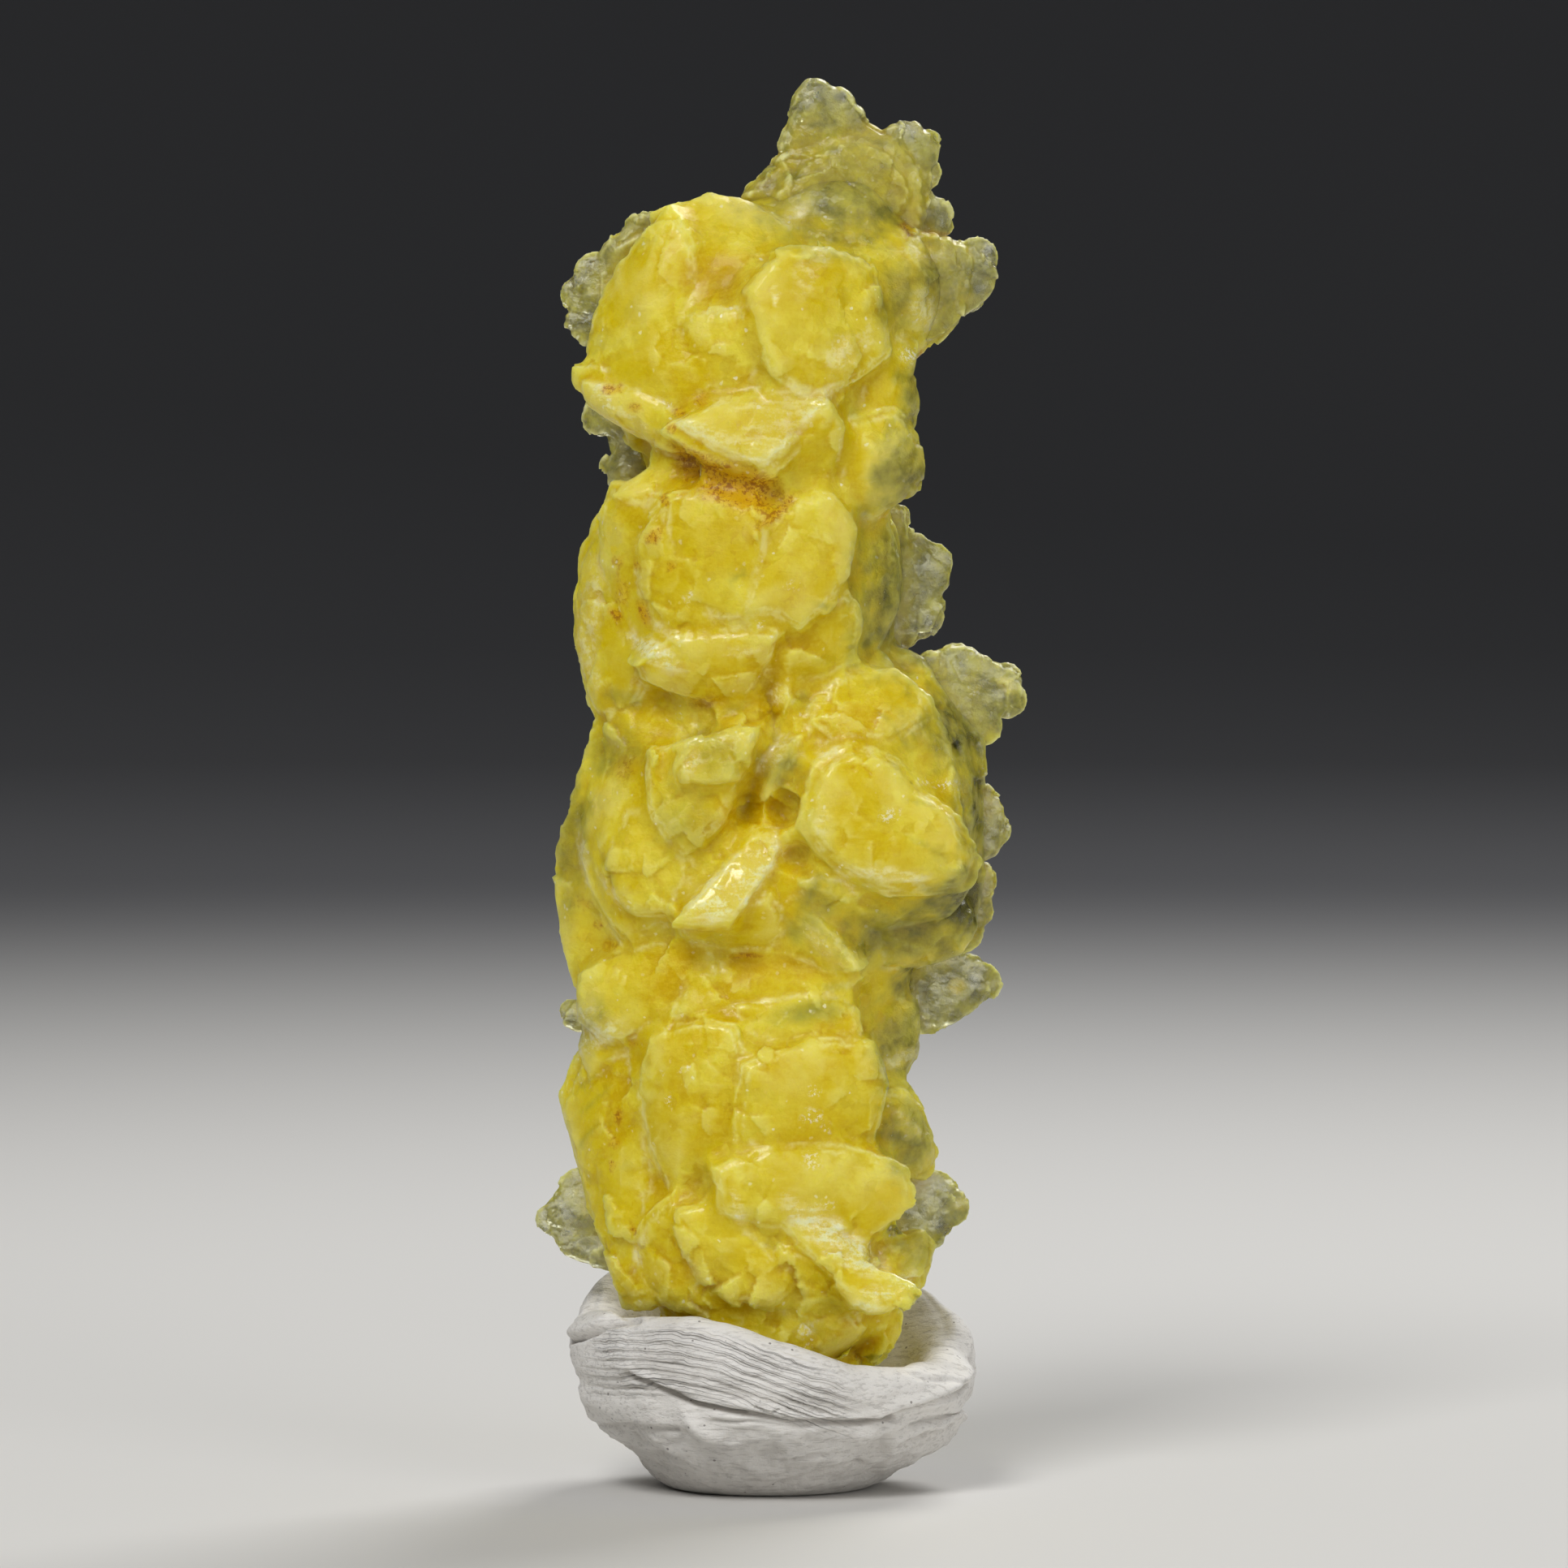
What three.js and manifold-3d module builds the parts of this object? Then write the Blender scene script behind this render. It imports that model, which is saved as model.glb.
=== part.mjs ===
// A lemon-yellow brucite specimen standing in a lump of white mounting putty.
// Millimetres, +Z up, the front faces -Y, the origin is the middle of the flat underside of the putty.
// The brucite is one grown piece: rounded lumps under overlapping plates, thin sheets and small crystals.
// The putty is a second piece: a kneaded bowl with folds, pressed up around the foot of the brucite.

import * as THREE from "three";
import { mergeVertices } from "three/addons/utils/BufferGeometryUtils.js";
import Module from "manifold-3d";

// Driving dimensions

const BRUCITE_TOP = 86.9; // height of the highest lobe above the table
const SCALE = BRUCITE_TOP / 86.9; // every size in the tables below follows the height
const GAP = 0.4; // clearance kept between the brucite and the putty

const PUTTY_HALF_WIDTH = 12.75;
const PUTTY_HALF_DEPTH = 11.6;
const PUTTY_FOOT_RADIUS = 6.8; // the flat underside
const PUTTY_FLOOR = 2.0; // thickness of the putty under the brucite
const SOCKET_RADIUS = 7.0;

const UNDER_LAYER = 0.55; // how far the lower layer of a plate shows beyond the upper one

const BRUCITE_YELLOW = 0xd9c52c;
const PUTTY_WHITE = 0xdedad5;

// Rounded lumps inside the cluster: [name, [x, y, z], [half width, half depth, half height]]
const LUMPS = [
  ["upper", [-1.6, 0.2, 71.6], [8.2, 7.0, 7.4]],
  ["upper_foot", [0.8, 0.3, 64.2], [7.2, 6.5, 5.8]],
  ["middle", [-2.8, 0.2, 56.2], [7.6, 7.2, 7.4]],
  ["neck", [0.2, 0.4, 49.0], [7.8, 5.6, 5.2]],
  ["rosette", [7.0, -0.2, 42.4], [6.0, 6.2, 8.2]],
  ["left", [-5.6, -0.2, 40.0], [6.2, 6.0, 8.2]],
  ["waist", [-1.2, 0.1, 31.4], [9.8, 6.7, 6.2]],
  ["belly", [-1.8, 0, 23.4], [9.0, 7.4, 7.6]],
  ["foot", [-0.6, 0, 15.6], [8.2, 7.0, 6.4]],
  ["stem", [-0.4, 0, 8.4], [6.6, 5.4, 5.8]],
];

// Plates that grow out of the lumps, seen from the front.
// face: [turn, tilt] in degrees, where turn 0 faces the front, 90 the right, and tilt is upwards;
// y: depth of its middle; thick: of its two layers; dome: how far the middle bulges;
// root: how far the back reaches inwards; rim: [x, z] of the corners of its upper layer;
// layered: a second layer shows under the first.
const PLATES = [
  // Spire and wing
  { name: "spire_lobe", face: [6, 10], y: -1.6, thick: 1.0, dome: 0.9, root: 2.0,
    rim: [[2.0, 81.6], [4.6, 83.0], [7.4, 82.2], [8.8, 79.4], [6.0, 76.8], [1.8, 77.6], [0.2, 79.6]] },
  { name: "spire_foot", face: [-4, 24], y: -3.4, thick: 1.0, dome: 0.7, root: 2.5,
    rim: [[0.2, 79.4], [2.8, 80.2], [6.2, 79.0], [6.4, 76.6], [3.2, 75.6], [0.6, 76.4], [-1.0, 77.8]] },
  { name: "wing_lobe", face: [24, 6], y: -2.8, thick: 1.0, dome: 0.9, root: 2.5,
    rim: [[7.0, 76.4], [10.2, 76.8], [12.0, 74.9], [10.4, 72.0], [7.8, 71.4], [6.6, 73.8]] },
  // Upper lump
  { name: "upper_dome", face: [-30, 6], y: -4.8, thick: 1.6, dome: 1.7, root: 4.0,
    rim: [[-6.3, 78.9], [-9.3, 75.4], [-10.8, 72.4], [-11.3, 68.8], [-10.4, 66.9], [-7.6, 65.7],
      [-4.8, 66.0], [-3.4, 68.5], [-4.6, 72.0], [-4.8, 76.4]] },
  { name: "upper_crown", face: [-6, 34], y: -3.4, thick: 1.3, dome: 0.8, root: 3.5,
    rim: [[-6.8, 78.6], [-3.7, 79.8], [-1.2, 79.4], [0.8, 78.0], [1.0, 76.2], [-1.4, 75.6], [-4.4, 76.2]] },
  { name: "upper_scallop", face: [-8, 2], y: -7.2, thick: 1.3, dome: 0.7, root: 3.5,
    rim: [[-5.2, 71.8], [-4.2, 72.4], [-2.2, 72.7], [-0.7, 71.6], [-0.4, 69.8], [-1.4, 67.6],
      [-3.4, 66.5], [-5.0, 68.6]] },
  { name: "upper_right", face: [16, 4], y: -7.1, thick: 1.5, dome: 0.9, root: 4.0,
    rim: [[-0.9, 73.9], [1.3, 76.2], [3.6, 76.4], [6.3, 75.4], [7.0, 72.6], [7.3, 70.2], [5.4, 68.6],
      [2.6, 67.6], [0.4, 69.0]] },
  { name: "pearly_ledge", face: [4, 20], y: -8.5, thick: 1.4, dome: 0.3, root: 3.5, layered: true,
    rim: [[-5.2, 65.9], [-3.0, 64.4], [-0.9, 63.5], [0.3, 63.8], [2.0, 65.7], [3.5, 67.4], [2.8, 68.5],
      [0.2, 68.2], [-2.6, 67.2]] },
  { name: "under_ledge", face: [14, -22], y: -7.5, thick: 1.1, dome: 0.4, root: 3.5,
    rim: [[-0.9, 62.9], [1.4, 65.0], [3.6, 66.9], [4.6, 65.4], [4.0, 63.1], [2.8, 61.7], [1.4, 61.4]] },
  { name: "lower_left_edge", face: [-26, -10], y: -5.9, thick: 1.7, dome: 0.4, root: 3.5, layered: true,
    rim: [[-11.0, 68.0], [-10.9, 66.9], [-8.4, 65.2], [-5.8, 64.0], [-3.8, 64.2], [-5.2, 66.2],
      [-8.0, 67.6]] },
  { name: "right_shoulder", face: [34, 0], y: -3.8, thick: 1.3, dome: 0.8, root: 3.5,
    rim: [[7.2, 71.3], [9.2, 70.2], [8.9, 68.6], [9.2, 66.8], [8.8, 65.2], [7.0, 64.2], [5.6, 66.6],
      [6.0, 69.8]] },
  { name: "right_bulge", face: [26, -6], y: -4.8, thick: 1.3, dome: 1.3, root: 3.5,
    rim: [[5.2, 65.7], [7.7, 66.3], [9.1, 64.9], [9.5, 62.8], [9.2, 61.4], [8.0, 60.8], [6.5, 60.0],
      [4.9, 60.5], [4.4, 62.7]] },
  // Middle lump
  { name: "middle_crown", face: [-6, 30], y: -6.0, thick: 1.1, dome: 0.5, root: 3.5,
    rim: [[-9.2, 61.5], [-6.1, 63.4], [-3.5, 63.2], [-0.9, 62.4], [1.7, 61.5], [0.0, 60.0], [-3.5, 60.8],
      [-6.8, 60.6]] },
  { name: "fan_outer", face: [-48, -4], y: -2.6, thick: 1.2, dome: 0.7, root: 3.5, layered: true,
    rim: [[-10.4, 59.1], [-11.5, 57.1], [-11.9, 54.9], [-11.9, 52.5], [-11.4, 50.3], [-10.5, 47.8],
      [-9.0, 48.4], [-7.7, 51.2], [-8.6, 55.0]] },
  { name: "fan_middle", face: [-34, -4], y: -5.3, thick: 1.3, dome: 0.8, root: 3.5,
    rim: [[-9.6, 61.7], [-10.3, 59.3], [-10.4, 57.4], [-9.5, 54.6], [-8.1, 52.3], [-5.7, 50.9],
      [-4.6, 52.2],
      [-5.6, 56.7], [-6.1, 60.8]] },
  { name: "fan_inner", face: [-20, -4], y: -7.0, thick: 1.1, dome: 0.6, root: 3.0,
    rim: [[-6.6, 60.6], [-7.9, 58.6], [-8.0, 56.0], [-7.0, 53.6], [-5.0, 52.4], [-3.4, 53.6], [-4.0, 57.4],
      [-4.6, 60.2]] },
  { name: "middle_plate", face: [-8, 4], y: -8.1, thick: 1.3, dome: 0.6, root: 3.5,
    rim: [[-6.1, 61.2], [-6.0, 58.6], [-5.5, 56.4], [-5.1, 54.7], [-3.5, 54.0], [-0.9, 54.0], [-0.6, 57.0],
      [-0.1, 59.9], [-1.4, 61.0], [-3.5, 61.7]] },
  { name: "middle_right_plate", face: [10, 2], y: -8.0, thick: 1.6, dome: 0.5, root: 4.0,
    rim: [[-0.1, 59.3], [2.0, 61.3], [3.9, 61.2], [5.2, 59.3], [4.8, 56.7], [3.9, 55.5], [2.0, 53.5],
      [0.7, 54.3], [-1.1, 54.6]] },
  { name: "middle_skirt", face: [-6, -22], y: -7.0, thick: 1.2, dome: 0.6, root: 3.5,
    rim: [[-7.7, 51.2], [-5.2, 52.6], [-2.0, 52.9], [0.3, 52.8], [-0.5, 50.3], [-1.8, 49.0], [-3.5, 48.6],
      [-5.7, 49.3], [-7.4, 50.0]] },
  { name: "middle_right_skirt", face: [14, -16], y: -6.4, thick: 1.2, dome: 0.6, root: 3.5,
    rim: [[0.6, 52.8], [2.2, 54.0], [4.7, 55.2], [5.6, 53.8], [5.1, 51.4], [3.7, 50.4], [1.3, 50.2],
      [-0.2, 50.8]] },
  { name: "middle_green", face: [30, -4], y: -3.6, thick: 1.2, dome: 0.6, root: 3.0,
    rim: [[5.0, 59.6], [7.0, 60.2], [8.0, 57.6], [8.0, 54.4], [6.8, 52.0], [5.0, 51.2], [4.8, 55.4]] },
  // Rosette on the right
  { name: "rosette_back", face: [12, 0], y: -1.6, thick: 2.2, dome: 0.8, root: 3.5,
    rim: [[4.4, 50.4], [7.1, 51.9], [9.6, 51.1], [11.4, 48.2], [13.4, 46.0], [13.3, 42.0],
      [13.3, 37.9], [12.8, 34.6], [9.5, 33.0], [5.0, 34.0], [3.2, 42.0]] },
  { name: "rosette_dome", face: [12, 6], y: -6.0, thick: 1.5, dome: 1.4, root: 4.0,
    rim: [[2.6, 48.6], [4.6, 50.3], [7.7, 50.7], [9.8, 49.0], [11.2, 45.4], [11.9, 40.2],
      [11.2, 38.1], [6.4, 38.0], [2.8, 41.1], [2.4, 44.4]] },
  { name: "rosette_front", face: [8, 4], y: -8.5, thick: 1.3, dome: 0.7, root: 3.0, layered: true,
    rim: [[3.4, 44.7], [5.2, 45.7], [7.7, 44.9], [8.9, 43.4], [10.9, 41.9], [12.0, 39.6], [11.3, 38.1],
      [7.1, 37.9], [4.2, 39.4], [2.6, 41.4]] },
  { name: "rosette_crown", face: [10, 32], y: -6.0, thick: 1.1, dome: 0.6, root: 3.0,
    rim: [[4.2, 49.9], [6.8, 50.7], [9.0, 49.9], [9.4, 48.0], [7.4, 46.8], [4.8, 46.8], [3.0, 48.0]] },
  { name: "rosette_left_rims", face: [-38, 2], y: -6.2, thick: 1.6, dome: 0.5, root: 3.0,
    rim: [[2.0, 47.0], [3.6, 47.8], [4.2, 44.4], [3.4, 41.0], [2.7, 38.7], [1.0, 40.4], [0.8, 43.7]] },
  { name: "rosette_under", face: [8, -30], y: -6.7, thick: 1.2, dome: 0.6, root: 3.5,
    rim: [[2.2, 37.7], [5.4, 38.3], [9.5, 38.0], [11.8, 37.2], [10.6, 35.6], [6.4, 34.9], [3.2, 35.4]] },
  { name: "rosette_skirt", face: [20, -20], y: -4.0, thick: 1.3, dome: 0.6, root: 3.5,
    rim: [[6.8, 35.0], [9.6, 35.9], [12.2, 36.0], [12.9, 34.7], [11.9, 33.1], [9.7, 32.4], [7.2, 32.6]] },
  { name: "lower_blades", face: [-24, -16], y: -6.8, thick: 1.6, dome: 0.3, root: 3.0,
    rim: [[0.0, 37.3], [1.6, 37.1], [3.2, 35.5], [4.2, 34.2], [5.4, 32.5], [3.4, 32.4], [1.4, 33.4],
      [0.4, 35.0]] },
  // Left middle
  { name: "left_top_slab", face: [-22, 14], y: -4.3, thick: 1.1, dome: 0.4, root: 3.0,
    rim: [[-9.3, 48.4], [-6.3, 48.3], [-4.3, 47.9], [-4.9, 46.0], [-6.7, 44.4], [-8.7, 45.4],
      [-10.0, 47.0]] },
  { name: "left_outer_sheet", face: [-30, 0], y: -1.6, thick: 1.5, dome: 0.6, root: 3.0,
    rim: [[-9.6, 47.1], [-11.1, 46.9], [-11.7, 44.8], [-12.7, 41.0], [-13.3, 39.0], [-13.2, 36.5],
      [-12.9, 34.1], [-12.0, 30.9], [-9.4, 32.6], [-8.4, 38.0], [-8.6, 43.4]] },
  { name: "left_nest_outer", face: [-30, 4], y: -4.6, thick: 1.3, dome: 0.5, root: 3.5, layered: true,
    rim: [[-9.9, 42.8], [-11.6, 39.3], [-10.5, 36.3], [-9.0, 34.3], [-6.7, 35.1], [-5.2, 38.0],
      [-5.6, 41.6],
      [-8.0, 43.4]] },
  { name: "left_nest_inner", face: [-22, 4], y: -6.1, thick: 1.1, dome: 0.5, root: 3.0,
    rim: [[-8.5, 42.1], [-10.0, 38.9], [-9.4, 36.9], [-8.1, 35.9], [-6.0, 36.2], [-5.0, 38.9],
      [-6.6, 41.7]] },
  { name: "left_shield", face: [-8, 8], y: -7.1, thick: 1.3, dome: 0.4, root: 3.5,
    rim: [[-7.2, 42.2], [-5.2, 39.8], [-2.9, 41.7], [-1.8, 44.2], [-2.8, 45.9], [-5.4, 46.4],
      [-7.3, 45.6]] },
  { name: "clear_tablet", face: [-6, 6], y: -8.3, thick: 1.4, dome: 0.1, root: 2.2,
    rim: [[-5.4, 44.8], [-5.0, 46.4], [-2.8, 47.0], [-0.8, 47.2], [-2.0, 44.3], [-5.1, 44.0]] },
  { name: "pearl_plate", face: [2, 18], y: -8.1, thick: 1.4, dome: 0.2, root: 3.5,
    rim: [[-5.4, 35.8], [-2.8, 38.6], [-1.0, 40.9], [0.6, 40.9], [0.4, 39.1], [-1.2, 37.0], [-2.2, 35.6]] },
  { name: "pearl_under", face: [0, -24], y: -7.0, thick: 1.1, dome: 0.4, root: 3.5,
    rim: [[-5.4, 35.6], [-2.4, 36.2], [0.0, 36.9], [0.8, 34.9], [0.0, 33.8], [-2.8, 33.6], [-5.0, 34.4]] },
  { name: "clear_chip", face: [-16, 4], y: -7.2, thick: 1.1, dome: 0.2, root: 5.0,
    rim: [[-0.4, 45.2], [0.4, 46.1], [1.8, 46.7], [1.6, 45.5], [0.8, 44.3], [-0.2, 43.3]] },
  { name: "clear_knob", face: [0, 10], y: -6.7, thick: 1.0, dome: 0.3, root: 2.4,
    rim: [[0.0, 49.8], [1.0, 50.0], [1.4, 49.2], [0.9, 47.9], [0.1, 48.2]] },
  // Waist
  { name: "waist_left", face: [-22, 10], y: -4.9, thick: 1.3, dome: 0.5, root: 3.5,
    rim: [[-11.6, 32.0], [-7.9, 34.0], [-3.9, 34.3], [-3.2, 32.2], [-6.4, 29.5], [-9.6, 27.9],
      [-11.6, 29.4]] },
  { name: "waist_slope", face: [0, 14], y: -6.3, thick: 1.1, dome: 0.4, root: 3.5,
    rim: [[-3.9, 33.0], [0.6, 33.9], [5.4, 32.0], [3.4, 30.9], [-1.4, 29.9], [-5.6, 29.8]] },
  { name: "arch_window", face: [4, 10], y: -7.0, thick: 1.0, dome: 0.3, root: 3.0,
    rim: [[-1.9, 30.2], [2.6, 31.0], [5.2, 30.2], [5.4, 28.6], [1.0, 28.0], [-1.6, 28.8]] },
  { name: "right_curtain", face: [34, 0], y: -2.6, thick: 1.1, dome: 0.5, root: 3.0,
    rim: [[6.6, 30.6], [9.2, 30.2], [9.2, 26.8], [8.1, 25.5], [7.0, 25.8], [6.2, 28.0]] },
  { name: "left_pearl", face: [-36, 6], y: -3.4, thick: 1.1, dome: 0.4, root: 3.0,
    rim: [[-11.2, 30.2], [-8.7, 29.0], [-8.8, 27.4], [-10.9, 25.9], [-11.6, 27.4]] },
  // Belly and foot
  { name: "belly_left", face: [-14, 4], y: -7.2, thick: 1.4, dome: 1.2, root: 4.0,
    rim: [[-7.3, 28.2], [-4.6, 29.2], [-2.3, 28.9], [-1.7, 26.4], [-1.9, 23.1], [-3.0, 20.1], [-5.6, 18.4],
      [-7.1, 21.2], [-8.0, 25.0]] },
  { name: "belly_right", face: [10, 2], y: -7.6, thick: 1.4, dome: 1.0, root: 4.0,
    rim: [[-1.2, 26.6], [2.7, 28.1], [6.4, 27.9], [7.3, 25.3], [6.6, 22.3], [5.1, 20.9], [1.8, 20.5],
      [-1.6, 22.3]] },
  { name: "left_column", face: [-44, 0], y: -3.2, thick: 1.4, dome: 0.9, root: 3.5, layered: true,
    rim: [[-8.9, 28.2], [-11.7, 25.9], [-12.7, 23.3], [-12.1, 21.2], [-11.3, 18.4], [-10.3, 15.2],
      [-9.2, 12.2],
      [-7.4, 12.6], [-7.6, 17.6], [-7.6, 22.6]] },
  { name: "right_book", face: [32, -6], y: -3.6, thick: 2.2, dome: 0.6, root: 3.5, layered: true,
    rim: [[6.4, 24.6], [8.6, 24.6], [9.5, 23.2], [10.1, 21.2], [9.8, 19.9], [8.6, 20.0], [6.4, 20.4],
      [5.6, 22.4]] },
  { name: "foot_smooth", face: [10, -6], y: -8.0, thick: 1.3, dome: 0.8, root: 4.0,
    rim: [[-3.0, 20.3], [0.4, 21.5], [4.4, 21.5], [8.2, 20.2], [8.6, 18.0], [6.6, 16.4], [3.7, 16.8],
      [0.2, 16.9], [-2.6, 17.6]] },
  { name: "bright_ledge", face: [10, 16], y: -8.5, thick: 1.3, dome: 0.2, root: 3.5,
    rim: [[0.9, 17.2], [3.5, 17.4], [4.8, 16.3], [7.0, 14.4], [9.0, 13.3], [8.7, 12.5], [7.0, 11.9],
      [5.6, 12.3], [3.3, 14.6]] },
  { name: "bright_under", face: [4, -24], y: -7.1, thick: 1.1, dome: 0.4, root: 3.5,
    rim: [[0.8, 15.4], [3.6, 14.5], [5.8, 12.0], [3.9, 10.9], [1.6, 11.0], [-0.4, 13.0]] },
  { name: "foot_corner", face: [30, 0], y: -4.8, thick: 1.2, dome: 0.4, root: 5.5,
    rim: [[7.0, 14.8], [9.4, 16.1], [10.3, 15.2], [9.5, 13.1], [8.6, 12.2], [7.2, 12.7]] },
  { name: "foot_scallop", face: [-2, -4], y: -8.0, thick: 1.2, dome: 0.5, root: 3.5,
    rim: [[-5.6, 17.7], [-3.2, 18.1], [-1.4, 16.7], [0.4, 14.9], [1.6, 13.4], [0.2, 12.4], [-2.2, 12.5],
      [-4.5, 14.0], [-5.4, 15.7]] },
  { name: "foot_left_scallop", face: [-22, 0], y: -6.6, thick: 1.2, dome: 0.6, root: 3.5,
    rim: [[-5.8, 18.5], [-7.4, 17.0], [-8.1, 15.2], [-7.4, 13.0], [-6.0, 11.6], [-3.8, 11.8], [-4.4, 14.4],
      [-5.2, 16.4]] },
  { name: "base_front", face: [2, -16], y: -6.0, thick: 1.3, dome: 0.5, root: 3.5,
    rim: [[-4.0, 11.9], [0.3, 13.2], [4.4, 11.6], [5.7, 10.2], [4.4, 8.3], [1.0, 7.6], [-3.0, 8.6]] },
  { name: "base_right_knob", face: [30, -6], y: -3.6, thick: 1.5, dome: 0.7, root: 5.5,
    rim: [[5.6, 11.4], [7.8, 12.0], [8.3, 10.5], [7.9, 8.9], [6.8, 7.7], [5.6, 8.7]] },
];

// Plates on the sides and the back, as ovals.
// at: [x, y, z] of the middle; face: [turn, tilt, roll], where roll leans the long side;
// half: half width and half height.
const OVALS = [
  { name: "crown_back", at: [-1.0, 4.4, 75.2], face: [184, 24, 20], half: [5.2, 4.0],
    thick: 1.3, dome: 1.0, root: 3.5 },
  { name: "upper_back_left", at: [-5.8, 4.6, 71.4], face: [218, 4, 8], half: [4.4, 5.4],
    thick: 1.4, dome: 1.0, root: 3.5 },
  { name: "upper_back", at: [-0.4, 6.6, 69.6], face: [178, -4, 0], half: [4.4, 4.8],
    thick: 1.4, dome: 0.9, root: 3.5 },
  { name: "upper_back_right", at: [4.6, 4.8, 66.8], face: [146, -4, 12], half: [4.4, 4.8],
    thick: 1.4, dome: 0.9, root: 3.5 },
  { name: "upper_side_left", at: [-8.6, 1.0, 69.8], face: [262, 4, 10], half: [4.0, 4.8],
    thick: 1.2, dome: 0.6, root: 3.0 },
  { name: "upper_side_right", at: [6.6, 0.8, 69.2], face: [92, 6, 0], half: [3.8, 4.6],
    thick: 1.2, dome: 0.6, root: 3.0 },
  { name: "waist_back_high", at: [-1.8, 5.2, 62.6], face: [190, 6, 78], half: [3.0, 5.0],
    thick: 1.2, dome: 0.6, root: 3.0 },
  { name: "middle_back_left", at: [-6.6, 4.8, 57.4], face: [220, 4, 0], half: [4.4, 5.4],
    thick: 1.4, dome: 0.9, root: 3.5 },
  { name: "middle_back", at: [-1.0, 6.8, 55.4], face: [182, -6, 12], half: [4.8, 5.0],
    thick: 1.4, dome: 0.9, root: 3.5 },
  { name: "middle_back_right", at: [3.5, 4.4, 58.0], face: [140, 4, 0], half: [3.8, 4.8],
    thick: 1.3, dome: 0.8, root: 3.5 },
  { name: "middle_side_left", at: [-9.2, 1.4, 55.0], face: [264, 0, 0], half: [4.2, 5.2],
    thick: 1.2, dome: 0.6, root: 3.0 },
  { name: "neck_back", at: [-2.6, 5.0, 48.2], face: [196, -6, 74], half: [3.4, 5.2],
    thick: 1.3, dome: 0.7, root: 3.0 },
  { name: "rosette_rear", at: [8.2, 4.6, 42.8], face: [156, 4, 0], half: [4.8, 6.8],
    thick: 1.5, dome: 1.0, root: 3.5 },
  { name: "rosette_side", at: [12.0, 0.8, 41.6], face: [96, 0, 6], half: [4.0, 6.0],
    thick: 1.2, dome: 0.5, root: 3.0 },
  { name: "centre_back", at: [1.2, 5.2, 40.8], face: [184, 0, 12], half: [4.6, 6.0],
    thick: 1.4, dome: 0.9, root: 3.5 },
  { name: "left_back", at: [-7.0, 4.6, 39.2], face: [214, 2, 0], half: [4.6, 6.6],
    thick: 1.4, dome: 0.9, root: 3.5 },
  { name: "left_side", at: [-10.4, 1.6, 39.0], face: [266, 0, 0], half: [3.8, 6.2],
    thick: 1.1, dome: 0.5, root: 3.0 },
  { name: "waist_back_right", at: [5.6, 4.4, 32.2], face: [152, -8, 20], half: [4.4, 4.4],
    thick: 1.3, dome: 0.8, root: 3.5 },
  { name: "waist_back_left", at: [-5.2, 5.4, 30.8], face: [206, -4, 60], half: [4.2, 5.4],
    thick: 1.3, dome: 0.8, root: 3.5 },
  { name: "belly_back", at: [0.2, 6.8, 24.2], face: [180, 2, 0], half: [5.2, 5.4],
    thick: 1.4, dome: 1.0, root: 3.5 },
  { name: "belly_back_left", at: [-7.2, 4.6, 21.6], face: [222, 0, 0], half: [4.2, 6.0],
    thick: 1.4, dome: 0.8, root: 3.5 },
  { name: "belly_back_right", at: [5.4, 4.6, 19.6], face: [144, -2, 0], half: [4.0, 5.2],
    thick: 1.3, dome: 0.8, root: 3.5 },
  { name: "belly_side_left", at: [-9.4, 0.8, 20.6], face: [268, 0, 0], half: [3.8, 5.4],
    thick: 1.1, dome: 0.5, root: 3.0 },
  { name: "foot_back", at: [-1.6, 5.8, 14.8], face: [186, -12, 78], half: [3.8, 5.6],
    thick: 1.3, dome: 0.8, root: 3.5 },
];

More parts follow.
